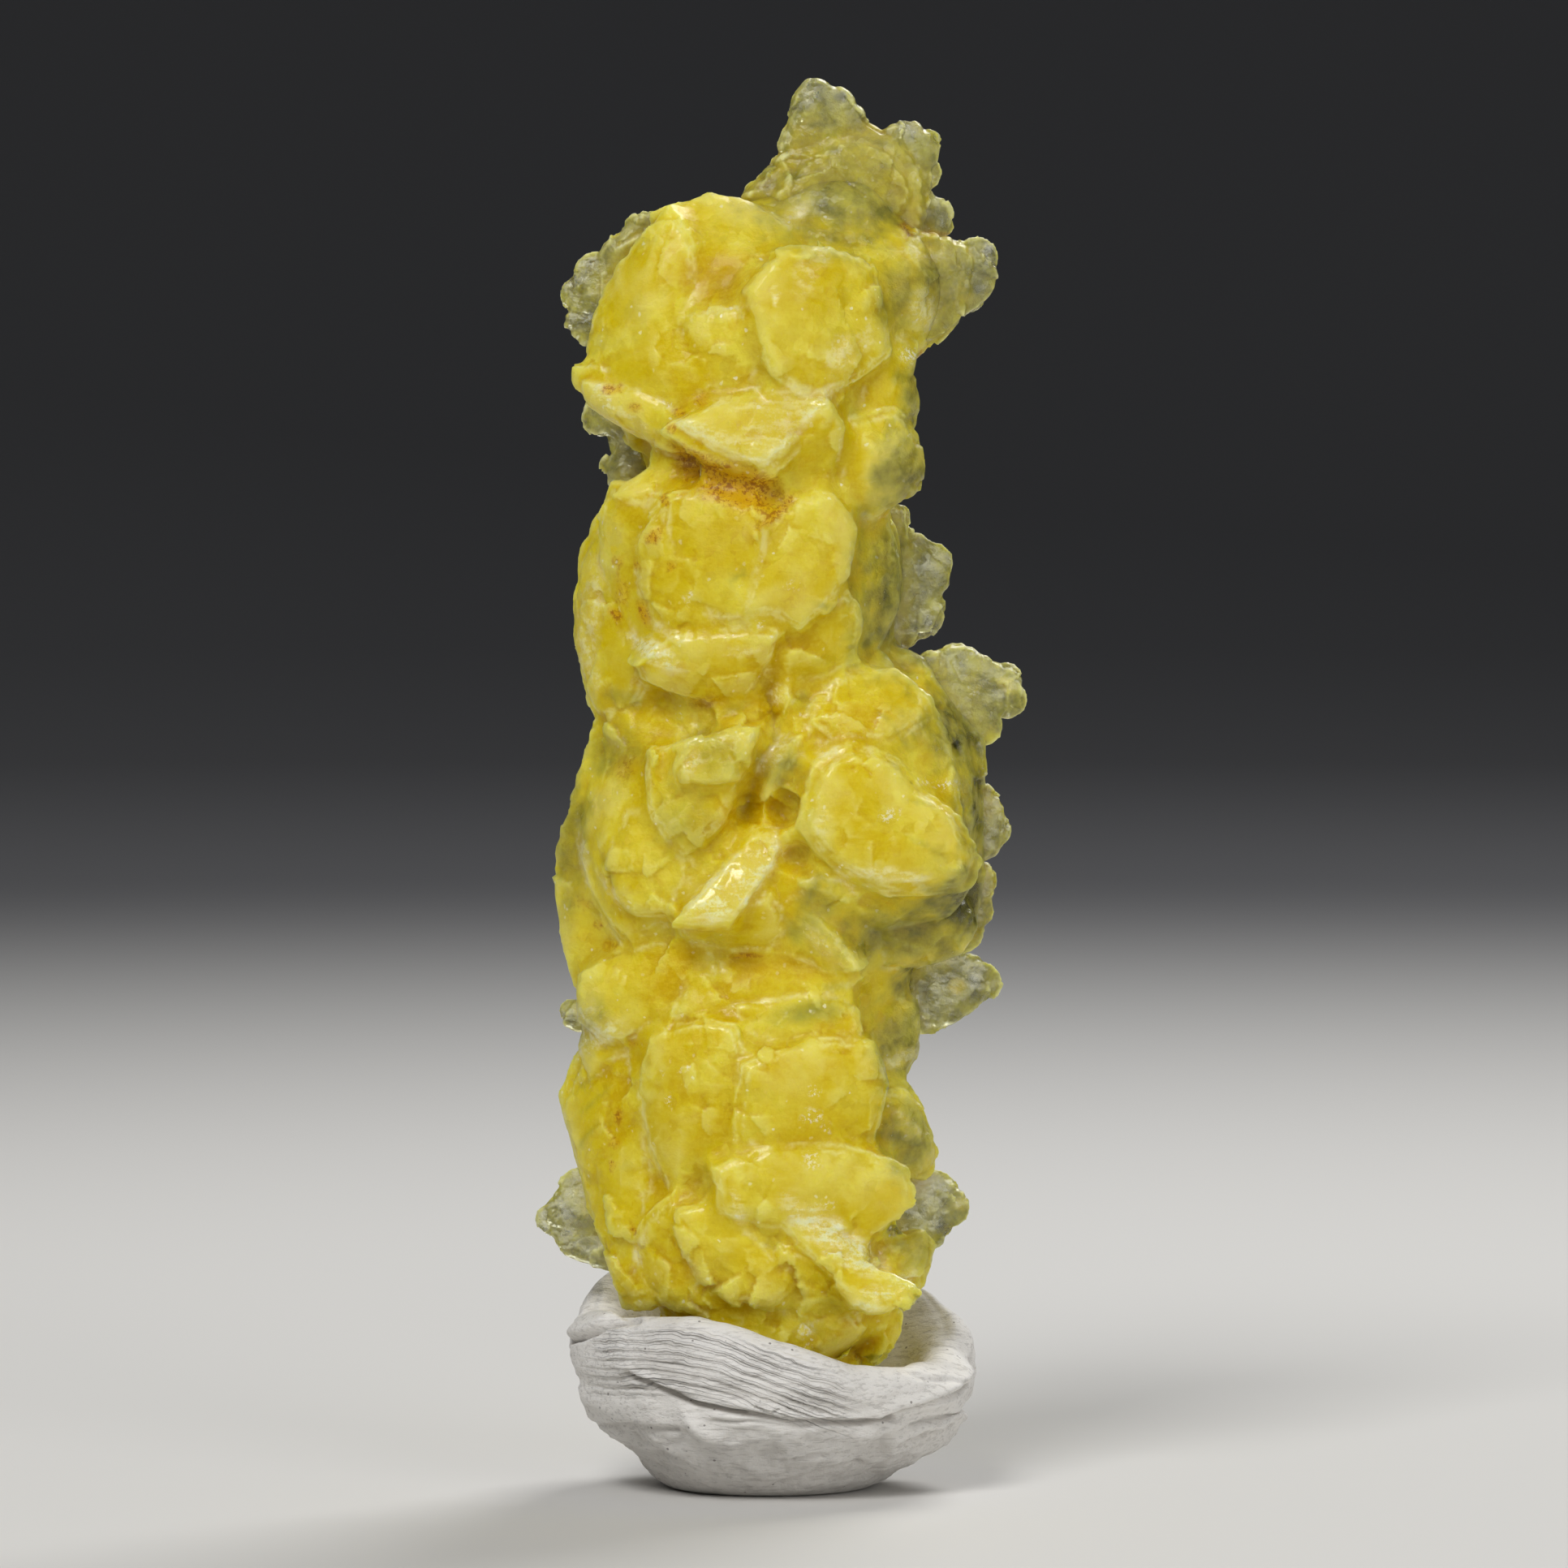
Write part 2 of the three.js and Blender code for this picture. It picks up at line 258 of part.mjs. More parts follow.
// Thin sheets and lobes that stand free of the lumps and are seen on both faces.
const SHEETS = [
  { name: "spire_tip", face: [4, 0], y: 0.2, thick: 2.0,
    rim: [[1.6, 86.0], [2.5, 86.9], [3.7, 86.7], [5.0, 86.0], [6.1, 84.3], [6.4, 82.2], [4.0, 81.0],
      [1.2, 81.0], [0.6, 82.6], [1.1, 84.2]] },
  { name: "spire_right", face: [12, 0], y: 0.8, thick: 1.8,
    rim: [[7.1, 83.8], [8.8, 84.4], [10.1, 83.4], [10.5, 82.3], [10.0, 81.3], [9.7, 79.8], [6.8, 78.8],
      [5.4, 81.8]] },
  { name: "spire_body", face: [4, 6], y: 0.4, thick: 3.8,
    rim: [[0.0, 81.2], [0.9, 82.4], [3.2, 83.4], [6.2, 84.1], [9.0, 82.0], [9.7, 80.0], [9.3, 77.0],
      [5.7, 75.4], [1.2, 76.4], [-1.7, 79.3], [-0.8, 80.5]] },
  { name: "spire_fringe", face: [10, 0], y: 1.6, thick: 1.1,
    rim: [[9.0, 80.3], [10.7, 79.4], [11.3, 78.4], [11.0, 77.2], [9.4, 76.2], [7.6, 77.4]] },
  { name: "wing", face: [12, 0], y: -0.4, thick: 2.8,
    rim: [[6.9, 76.9], [8.7, 77.5], [11.2, 77.2], [12.6, 76.2], [12.3, 73.4], [11.6, 71.6], [9.8, 70.5],
      [7.2, 70.6], [5.6, 73.2]] },
  { name: "wing_tip", face: [14, 0], y: 0.4, thick: 1.7,
    rim: [[12.0, 76.7], [12.9, 76.4], [14.0, 75.1], [14.0, 74.2], [13.5, 73.3], [12.1, 72.4],
      [10.4, 73.4], [10.6, 76.0]] },
  { name: "back_sheet_upper", face: [-10, 0], y: 2.4, thick: 1.4,
    rim: [[-6.2, 78.3], [-7.2, 78.8], [-8.6, 78.0], [-10.1, 76.6], [-10.7, 75.4], [-11.8, 74.4],
      [-12.4, 72.7],
      [-12.7, 71.9], [-11.6, 70.5], [-8.8, 69.4], [-5.4, 70.4], [-4.6, 75.4]] },
  { name: "back_sheet_lower", face: [-12, 0], y: 2.6, thick: 1.3,
    rim: [[-10.4, 69.0], [-11.1, 67.2], [-11.0, 65.8], [-10.1, 65.1], [-9.3, 64.3], [-10.1, 62.9],
      [-9.7, 61.3],
      [-8.0, 60.6], [-5.4, 61.4], [-5.0, 67.6]] },
  { name: "middle_right_sheet", face: [16, 0], y: 0.8, thick: 1.6,
    rim: [[5.0, 60.2], [8.1, 60.8], [8.6, 58.7], [9.8, 57.7], [11.1, 56.7], [11.1, 55.6], [10.4, 54.7],
      [10.8, 53.9], [10.4, 52.6], [8.4, 51.6], [5.2, 50.4], [4.2, 54.0]] },
  { name: "rosette_spike", face: [12, 0], y: 0.4, thick: 2.0,
    rim: [[9.0, 51.2], [11.5, 52.1], [13.1, 51.5], [14.3, 50.8], [15.5, 50.1], [15.7, 49.3], [15.2, 48.3],
      [14.0, 47.3], [13.4, 46.2], [10.6, 46.4], [8.8, 48.6]] },
  { name: "rosette_rim_upper", face: [12, 0], y: 0.4, thick: 1.6,
    rim: [[12.4, 43.9], [13.6, 43.3], [14.6, 42.2], [14.5, 40.3], [13.9, 38.9], [12.0, 38.6],
      [11.4, 41.6]] },
  { name: "rosette_rim_lower", face: [12, 0], y: 0.8, thick: 1.4,
    rim: [[12.2, 39.0], [13.7, 38.4], [13.9, 37.2], [13.7, 35.6], [13.0, 34.2], [11.0, 33.8],
      [10.6, 37.0]] },
  { name: "right_flag", face: [8, 0], y: 1.0, thick: 1.4,
    rim: [[9.8, 33.4], [12.4, 32.9], [13.8, 31.9], [13.6, 30.3], [12.1, 28.9], [10.6, 28.3], [9.2, 28.6],
      [7.2, 30.2], [7.8, 32.8]] },
  { name: "left_knob", face: [-10, 0], y: 0.2, thick: 1.2,
    rim: [[-11.0, 30.6], [-12.2, 29.8], [-12.8, 28.8], [-12.0, 28.1], [-10.0, 28.0], [-9.4, 29.8]] },
  { name: "left_flake", face: [-12, 0], y: 0.6, thick: 1.3,
    rim: [[-13.8, 17.2], [-13.2, 18.0], [-11.6, 18.9], [-10.2, 18.6], [-8.2, 16.6], [-8.2, 13.4],
      [-10.3, 13.5],
      [-12.4, 14.1], [-13.5, 15.4]] },
  { name: "right_flake", face: [10, 0], y: 0.6, thick: 1.6,
    rim: [[8.6, 18.6], [10.7, 19.0], [11.8, 18.6], [12.5, 17.4], [11.4, 16.2], [10.2, 14.9], [8.0, 13.4],
      [6.8, 16.4]] },
  { name: "back_fin", face: [124, 0], y: 5.0, thick: 1.3,
    rim: [[1.4, 66.0], [3.2, 64.2], [3.6, 60.6], [2.0, 58.4], [0.2, 60.8], [0.0, 64.4]] },
];

const OVAL_CORNERS = 7;
const CORNER_WANDER = 0.13; // how far an oval's corners stray from it, as a share of the radius
const LUMP_SIDES = 8;
const LUMP_RINGS = 5;
const LUMP_KNOB = 0.05;

// Height of the putty's rim above the table every 30 degrees, from the right, anticlockwise seen from above.
const RIM_HEIGHTS = [9.0, 10.6, 11.6, 12.0, 12.0, 11.6, 10.4, 11.0, 11.6, 10.4, 8.5, 8.2];
const PUTTY_SIDES = 28;

// Outside of the putty from the foot to the rim: its share of the full width where the lower fold,
// the crease and the upper fold are, and the height of each as a share of the way to the crease or the rim.
const LOWER_FOLD = [[0.72, 0.2], [0.85, 0.48], [0.94, 0.8]];
const UPPER_FOLD = [[0.98, 0.25], [1.0, 0.55], [0.96, 0.87], [0.87, 1.0], [0.76, 0.94]];

const wasm = await Module();
wasm.setup();

// A closed three.js geometry as a manifold-3d solid, with shared vertices merged.
function solidOf(geometry) {
  geometry.deleteAttribute("normal");
  geometry.deleteAttribute("uv");
  geometry.scale(SCALE, SCALE, SCALE);
  const merged = mergeVertices(geometry, 1e-4);
  return new wasm.Manifold(
    new wasm.Mesh({
      numProp: 3,
      vertProperties: new Float32Array(merged.attributes.position.array),
      triVerts: new Uint32Array(merged.index.array),
    }),
  );
}

// A manifold-3d solid as a three.js geometry.
function geometryOf(solid) {
  const mesh = solid.getMesh();
  const positions = new Float32Array(mesh.numVert * 3);
  for (let i = 0; i < mesh.numVert; i++) {
    const from = i * mesh.numProp;
    positions.set(mesh.vertProperties.subarray(from, from + 3), i * 3);
  }
  const geometry = new THREE.BufferGeometry();
  geometry.setAttribute("position", new THREE.BufferAttribute(positions, 3));
  geometry.setIndex(new THREE.BufferAttribute(new Uint32Array(mesh.triVerts), 1));
  geometry.computeVertexNormals();
  return geometry;
}

// A number from 0 to 1 that is the same for the same name and index.
function chance(name, index) {
  let sum = 17 + index * 131;
  for (const letter of name) sum = (sum * 31 + letter.charCodeAt(0)) % 99991;
  return ((sum * 7919) % 99991) / 99991;
}

// The three axes of a plate: across, along and out of its face.
function axesOf([turn, tilt, roll = 0]) {
  const [t, e, r] = [turn, tilt, roll].map(THREE.MathUtils.degToRad);
  const out = new THREE.Vector3(Math.sin(t) * Math.cos(e), -Math.cos(t) * Math.cos(e), Math.sin(e));
  const level = new THREE.Vector3(Math.cos(t), Math.sin(t), 0);
  const upward = new THREE.Vector3().crossVectors(out, level);
  return {
    out,
    across: level.clone().multiplyScalar(Math.cos(r)).addScaledVector(upward, -Math.sin(r)),
    along: upward.clone().multiplyScalar(Math.cos(r)).addScaledVector(level, Math.sin(r)),
  };
}

// The middle of a plate drawn by its rim, and the spokes from there to the corners, which lie in its plane.
function spokesOfRim({ rim, y, face }) {
  const { out, across, along } = axesOf(face);
  const count = rim.length;
  const x = rim.reduce((sum, corner) => sum + corner[0], 0) / count;
  const z = rim.reduce((sum, corner) => sum + corner[1], 0) / count;
  const spokes = rim.map(([cornerX, cornerZ]) => {
    const [dx, dz] = [cornerX - x, cornerZ - z];
    return new THREE.Vector3(dx, -(dx * out.x + dz * out.z) / out.y, dz);
  });
  const turnsLeft = spokes.reduce((sum, spoke, i) => {
    const next = spokes[(i + 1) % count];
    return sum + spoke.dot(across) * next.dot(along) - next.dot(across) * spoke.dot(along);
  }, 0);
  if (turnsLeft < 0) spokes.reverse();
  return { middle: new THREE.Vector3(x, y, z), spokes, out };
}

// The same for an oval plate with irregular corners.
function spokesOfOval({ name, at, half, face }) {
  const { out, across, along } = axesOf(face);
  const spokes = [];
  for (let i = 0; i < OVAL_CORNERS; i++) {
    const angle = ((i + 0.5 * chance(name, i)) / OVAL_CORNERS) * Math.PI * 2;
    const share = 1 + CORNER_WANDER * (2 * chance(name, i + 20) - 1);
    spokes.push(
      across
        .clone()
        .multiplyScalar(Math.cos(angle) * half[0] * share)
        .addScaledVector(along, Math.sin(angle) * half[1] * share),
    );
  }
  return { middle: new THREE.Vector3(...at), spokes, out };
}

// A turned profile of [share of the spoke, height], with its columns laid along the spokes.
function turned({ middle, spokes, out }, profile, grow) {
  const points = profile.map(([share, height]) => new THREE.Vector2(share, height));
  const geometry = new THREE.LatheGeometry(points, spokes.length);
  const position = geometry.getAttribute("position");
  const place = new THREE.Vector3();
  for (let i = 0; i < position.count; i++) {
    const spoke = spokes[Math.floor(i / profile.length) % spokes.length];
    const [share, height] = profile[i % profile.length];
    const reach = share ? share + grow / spoke.length() : 0;
    place.copy(middle).addScaledVector(spoke, reach).addScaledVector(out, height);
    position.setXYZ(i, place.x, place.y, place.z);
  }
  return solidOf(geometry);
}

// A plate with a steep rim and a root that reaches into the lump behind it.
// A layered one shows a second, wider layer under the first.
function plate(piece, grow = 0) {
  const { thick, dome, root, layered } = piece;
  const shape = piece.rim ? spokesOfRim(piece) : spokesOfOval(piece);
  const radius = shape.spokes.reduce((sum, spoke) => sum + spoke.length(), 0) / shape.spokes.length;
  const profile = [
    [0, -root - grow],
    [1, -thick - grow],
    [0.94, grow],
    [0, dome + grow],
  ];
  if (layered) profile.splice(1, 1, [1 + UNDER_LAYER / radius, -thick - grow], [1, -thick * 0.45 + grow]);
  return turned(shape, profile, grow);
}

// A thin sheet with a blunt rim, thicker in the middle.
function sheet(piece, grow = 0) {
  const half = piece.thick / 2 + grow;
  const profile = [
    [0, -half],
    [1, -half * 0.35],
    [0.97, half * 0.35],
    [0, half],
  ];
  return turned(spokesOfRim(piece), profile, grow);
}

// A rounded lump with a knobbly face.
function lump([name, at, half], grow = 0) {
  const geometry = new THREE.SphereGeometry(1, LUMP_SIDES, LUMP_RINGS);
  const position = geometry.getAttribute("position");
  const swing = chance(name, 3) * Math.PI * 2;
  for (let i = 0; i < position.count; i++) {
    const [x, y, z] = [position.getX(i), position.getY(i), position.getZ(i)];
    const knob = 1 + LUMP_KNOB * Math.sin(5 * x + swing) * Math.cos(4 * z + 3 * y - swing);
    position.setXYZ(
      i,
      at[0] + x * knob * (half[0] + grow),
      at[1] - z * knob * (half[1] + grow),
      at[2] + y * knob * (half[2] + grow),
    );
  }
  return solidOf(geometry);
}

function joined(solids) {
  return solids.reduce((whole, next) => whole.add(next));
}

function brucite() {
  return joined([
    ...LUMPS.map((piece) => lump(piece)),
    ...PLATES.map((piece) => plate(piece)),
    ...OVALS.map((piece) => plate(piece)),
    ...SHEETS.map((piece) => sheet(piece)),
  ]);
}

// The lowest point of a plate or sheet, roughly.
function lowest(piece) {
  if (!piece.rim) return piece.at[2] - Math.max(...piece.half);
  return Math.min(...piece.rim.map((corner) => corner[1]));
}

// The space that the putty leaves for the foot of the brucite: its lowest lumps and plates,
// each a gap larger.
function footSpace() {
  const reach = Math.max(...RIM_HEIGHTS) + 1;
  return joined([
    ...LUMPS.filter(([, at, half]) => at[2] - half[2] < reach).map((piece) => lump(piece, GAP)),
    ...PLATES.filter((piece) => lowest(piece) < reach).map((piece) => plate(piece, GAP)),
    ...OVALS.filter((piece) => lowest(piece) < reach).map((piece) => plate(piece, GAP)),
    ...SHEETS.filter((piece) => lowest(piece) < reach).map((piece) => sheet(piece, GAP)),
  ]);
}

// The rim's height at an angle, as a smooth closed curve through RIM_HEIGHTS.
function rimHeight(angle) {
  const count = RIM_HEIGHTS.length;
  const place = (angle / (Math.PI * 2)) * count + count;
  const from = Math.floor(place);
  const share = place - from;
  const smooth = share * share * (3 - 2 * share);
  return RIM_HEIGHTS[from % count] * (1 - smooth) + RIM_HEIGHTS[(from + 1) % count] * smooth;
}

// The putty: a bowl with a flat foot, a lower fold, a crease that climbs to the left, and an upper fold
// that leans on the brucite.
function putty() {
  const rows = LOWER_FOLD.length + UPPER_FOLD.length + 5;
  const points = [];
  for (let row = 0; row < rows; row++) points.push(new THREE.Vector2(row % (rows - 1) ? 1 : 0, row));
  const geometry = new THREE.LatheGeometry(points, PUTTY_SIDES);
  const position = geometry.getAttribute("position");
  for (let column = 0; column <= PUTTY_SIDES; column++) {
    const angle = ((column % PUTTY_SIDES) / PUTTY_SIDES) * Math.PI * 2;
    const rim = rimHeight(angle);
    const crease = 5.8 - 0.9 * Math.cos(angle);
    const creaseShare = 0.935 - 0.02 * Math.cos(angle);
    const wave = 1 + 0.018 * Math.sin(3 * angle + 1) + 0.01 * Math.sin(8 * angle);
    const wall = (share, z) => [PUTTY_HALF_WIDTH * share * wave, PUTTY_HALF_DEPTH * share * wave, z];
    const section = [
      [0, 0, 0],
      [PUTTY_FOOT_RADIUS, PUTTY_FOOT_RADIUS, 0],
      ...LOWER_FOLD.map(([share, height]) => wall(share, height * crease)),
      wall(creaseShare, crease),
      ...UPPER_FOLD.map(([share, height]) => wall(share, crease + height * (rim - crease))),
      [SOCKET_RADIUS, SOCKET_RADIUS * 0.86, rim * 0.75],
      [0, 0, PUTTY_FLOOR],
    ];
    section.forEach(([halfWidth, halfDepth, z], row) => {
      position.setXYZ(column * rows + row, Math.cos(angle) * halfWidth, Math.sin(angle) * halfDepth, z);
    });
  }
  return solidOf(geometry).subtract(footSpace());
}

function named(name, solid, colour, roughness) {
  const material = new THREE.MeshStandardMaterial({ color: colour, roughness, metalness: 0 });
  const mesh = new THREE.Mesh(geometryOf(solid), material);
  mesh.name = name;
  return mesh;
}

const specimen = new THREE.Group();
specimen.add(named("brucite_cluster", brucite(), BRUCITE_YELLOW, 0.4));
specimen.add(named("mounting_putty", putty(), PUTTY_WHITE, 0.85));

export default specimen;
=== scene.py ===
# A lemon-yellow brucite specimen standing in a lump of white mounting putty, on a pale studio floor.
# Blender's metres, +Z up, the front faces -Y. The tables below are in millimetres, as the part's own are.
# The brucite is a body of lumps, plates and thin scales, with clear lobed sheets along its edges.

import math
import random

import bpy
import numpy as np
from mathutils import Matrix, Vector, noise
from mathutils.bvhtree import BVHTree
from mathutils.kdtree import KDTree


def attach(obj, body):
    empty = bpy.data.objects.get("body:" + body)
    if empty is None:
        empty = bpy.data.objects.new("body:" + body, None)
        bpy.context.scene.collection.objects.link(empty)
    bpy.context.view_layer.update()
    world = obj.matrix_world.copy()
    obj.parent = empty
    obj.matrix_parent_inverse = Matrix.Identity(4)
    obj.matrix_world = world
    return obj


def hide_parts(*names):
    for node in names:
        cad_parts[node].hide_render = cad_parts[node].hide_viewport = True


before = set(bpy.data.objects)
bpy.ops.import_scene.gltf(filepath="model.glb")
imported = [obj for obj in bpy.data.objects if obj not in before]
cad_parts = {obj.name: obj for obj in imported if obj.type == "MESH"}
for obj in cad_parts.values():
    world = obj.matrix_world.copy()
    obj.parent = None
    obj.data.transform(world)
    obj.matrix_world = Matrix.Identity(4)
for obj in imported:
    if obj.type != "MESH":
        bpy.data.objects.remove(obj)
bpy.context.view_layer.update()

MM = 0.001
NOISE_SEED = 4
noise.seed_set(NOISE_SEED)  # or else the vector noise follows the clock

# The photograph's frame: a millimetre is 20 pixels, and the camera looks almost level
FRAME_PIXELS = 1932
PIXELS_PER_MM = 20.0
PHOTO_MIDDLE_COLUMN = 947
PHOTO_FLOOR_ROW = 1834
CAMERA_RISE = math.radians(3.0)
CAMERA_DISTANCE = 0.62
SENSOR_WIDTH = 36.0

# Shaping of the brucite, in millimetres
CORE_VOXEL = 0.26
BODY_VOXEL = 0.15
SHEET_VOXEL = 0.12
CREVICE_FILL = 0.85  # crevices narrower than twice this are closed in the core
PLATE_RISE = 0.09  # how far the plates stand out of the core
LAYER_STEP = 0.26  # from one layer of a plate down to the next
LAYER_SPREAD = 0.3  # how far a layer reaches past the one on it
THINNEST_LAYER = 0.5
RIM_LINE = (0.26, 0.06)  # distances from a plate's edge where its painted highlight line starts and is full
SCALES_PER_MM2 = 0.04
SCALE_FORMS = 5
BACK_PLATES = 100  # places that are tried
BACK_PLATE_SIZES = (1.2, 2.8)
SHEET_SPACING = 0.16  # between the points of a sheet's rim
SHEET_LOBE_AREA = 2.4  # of a sheet's face, for each lobe on it
FACETS = [(2.4, 0.2), (0.9, 0.13)]  # size of the crystal faces, and how much they tilt
FACETED_FOOT = (20.0, 12.0)  # heights between which the crystal faces grow bolder towards the foot
UPPER_SHEETS_ABOVE = 50.0
MOST_TRIANGLES = 194000
BACK_SHARE = 0.7  # how closely the back is drawn, against an even share

# Measuring of the brucite, in millimetres
MEASURE_EVERY = 3  # vertices; those between take their neighbours' mean
DEEPEST = 9.0  # stone thicker than this counts as this thick
SHELTER_REACH = 5.0  # stone nearer than this shelters a place
INWARD_RAYS = 7
OUTWARD_RAYS = 9

# Rounded lumps under the plates: name, middle, half sizes
LUMPS = [
    ("upper", (-1.6, 0.2, 71.6), (8.4, 7.1, 7.6)),
    ("shoulder", (6.2, 0.4, 73.6), (4.8, 4.8, 5.2)),
    ("spire_root", (3.6, 0.6, 77.6), (5.2, 3.8, 4.0)),
    ("upper_foot", (0.8, 0.3, 64.2), (7.6, 6.8, 6.2)),
    ("middle", (-2.8, 0.2, 56.2), (7.8, 7.3, 7.8)),
    ("middle_right", (3.0, 0.2, 56.6), (5.4, 6.2, 7.0)),
    ("neck", (0.2, 0.4, 49.0), (8.4, 6.1, 5.8)),
    ("rosette", (7.0, -0.2, 42.4), (6.2, 6.4, 8.4)),
    ("left", (-5.6, -0.2, 40.0), (6.4, 6.4, 8.8)),
    ("centre", (0.6, 0.2, 40.0), (5.6, 5.8, 8.0)),
    ("waist", (-1.2, 0.1, 31.4), (10.0, 7.0, 6.6)),
    ("belly", (-1.8, 0, 23.4), (9.2, 7.5, 7.8)),
    ("foot", (-0.6, 0, 15.6), (8.4, 7.1, 6.6)),
    ("stem", (-0.4, 0, 8.4), (6.6, 5.4, 5.6)),
]

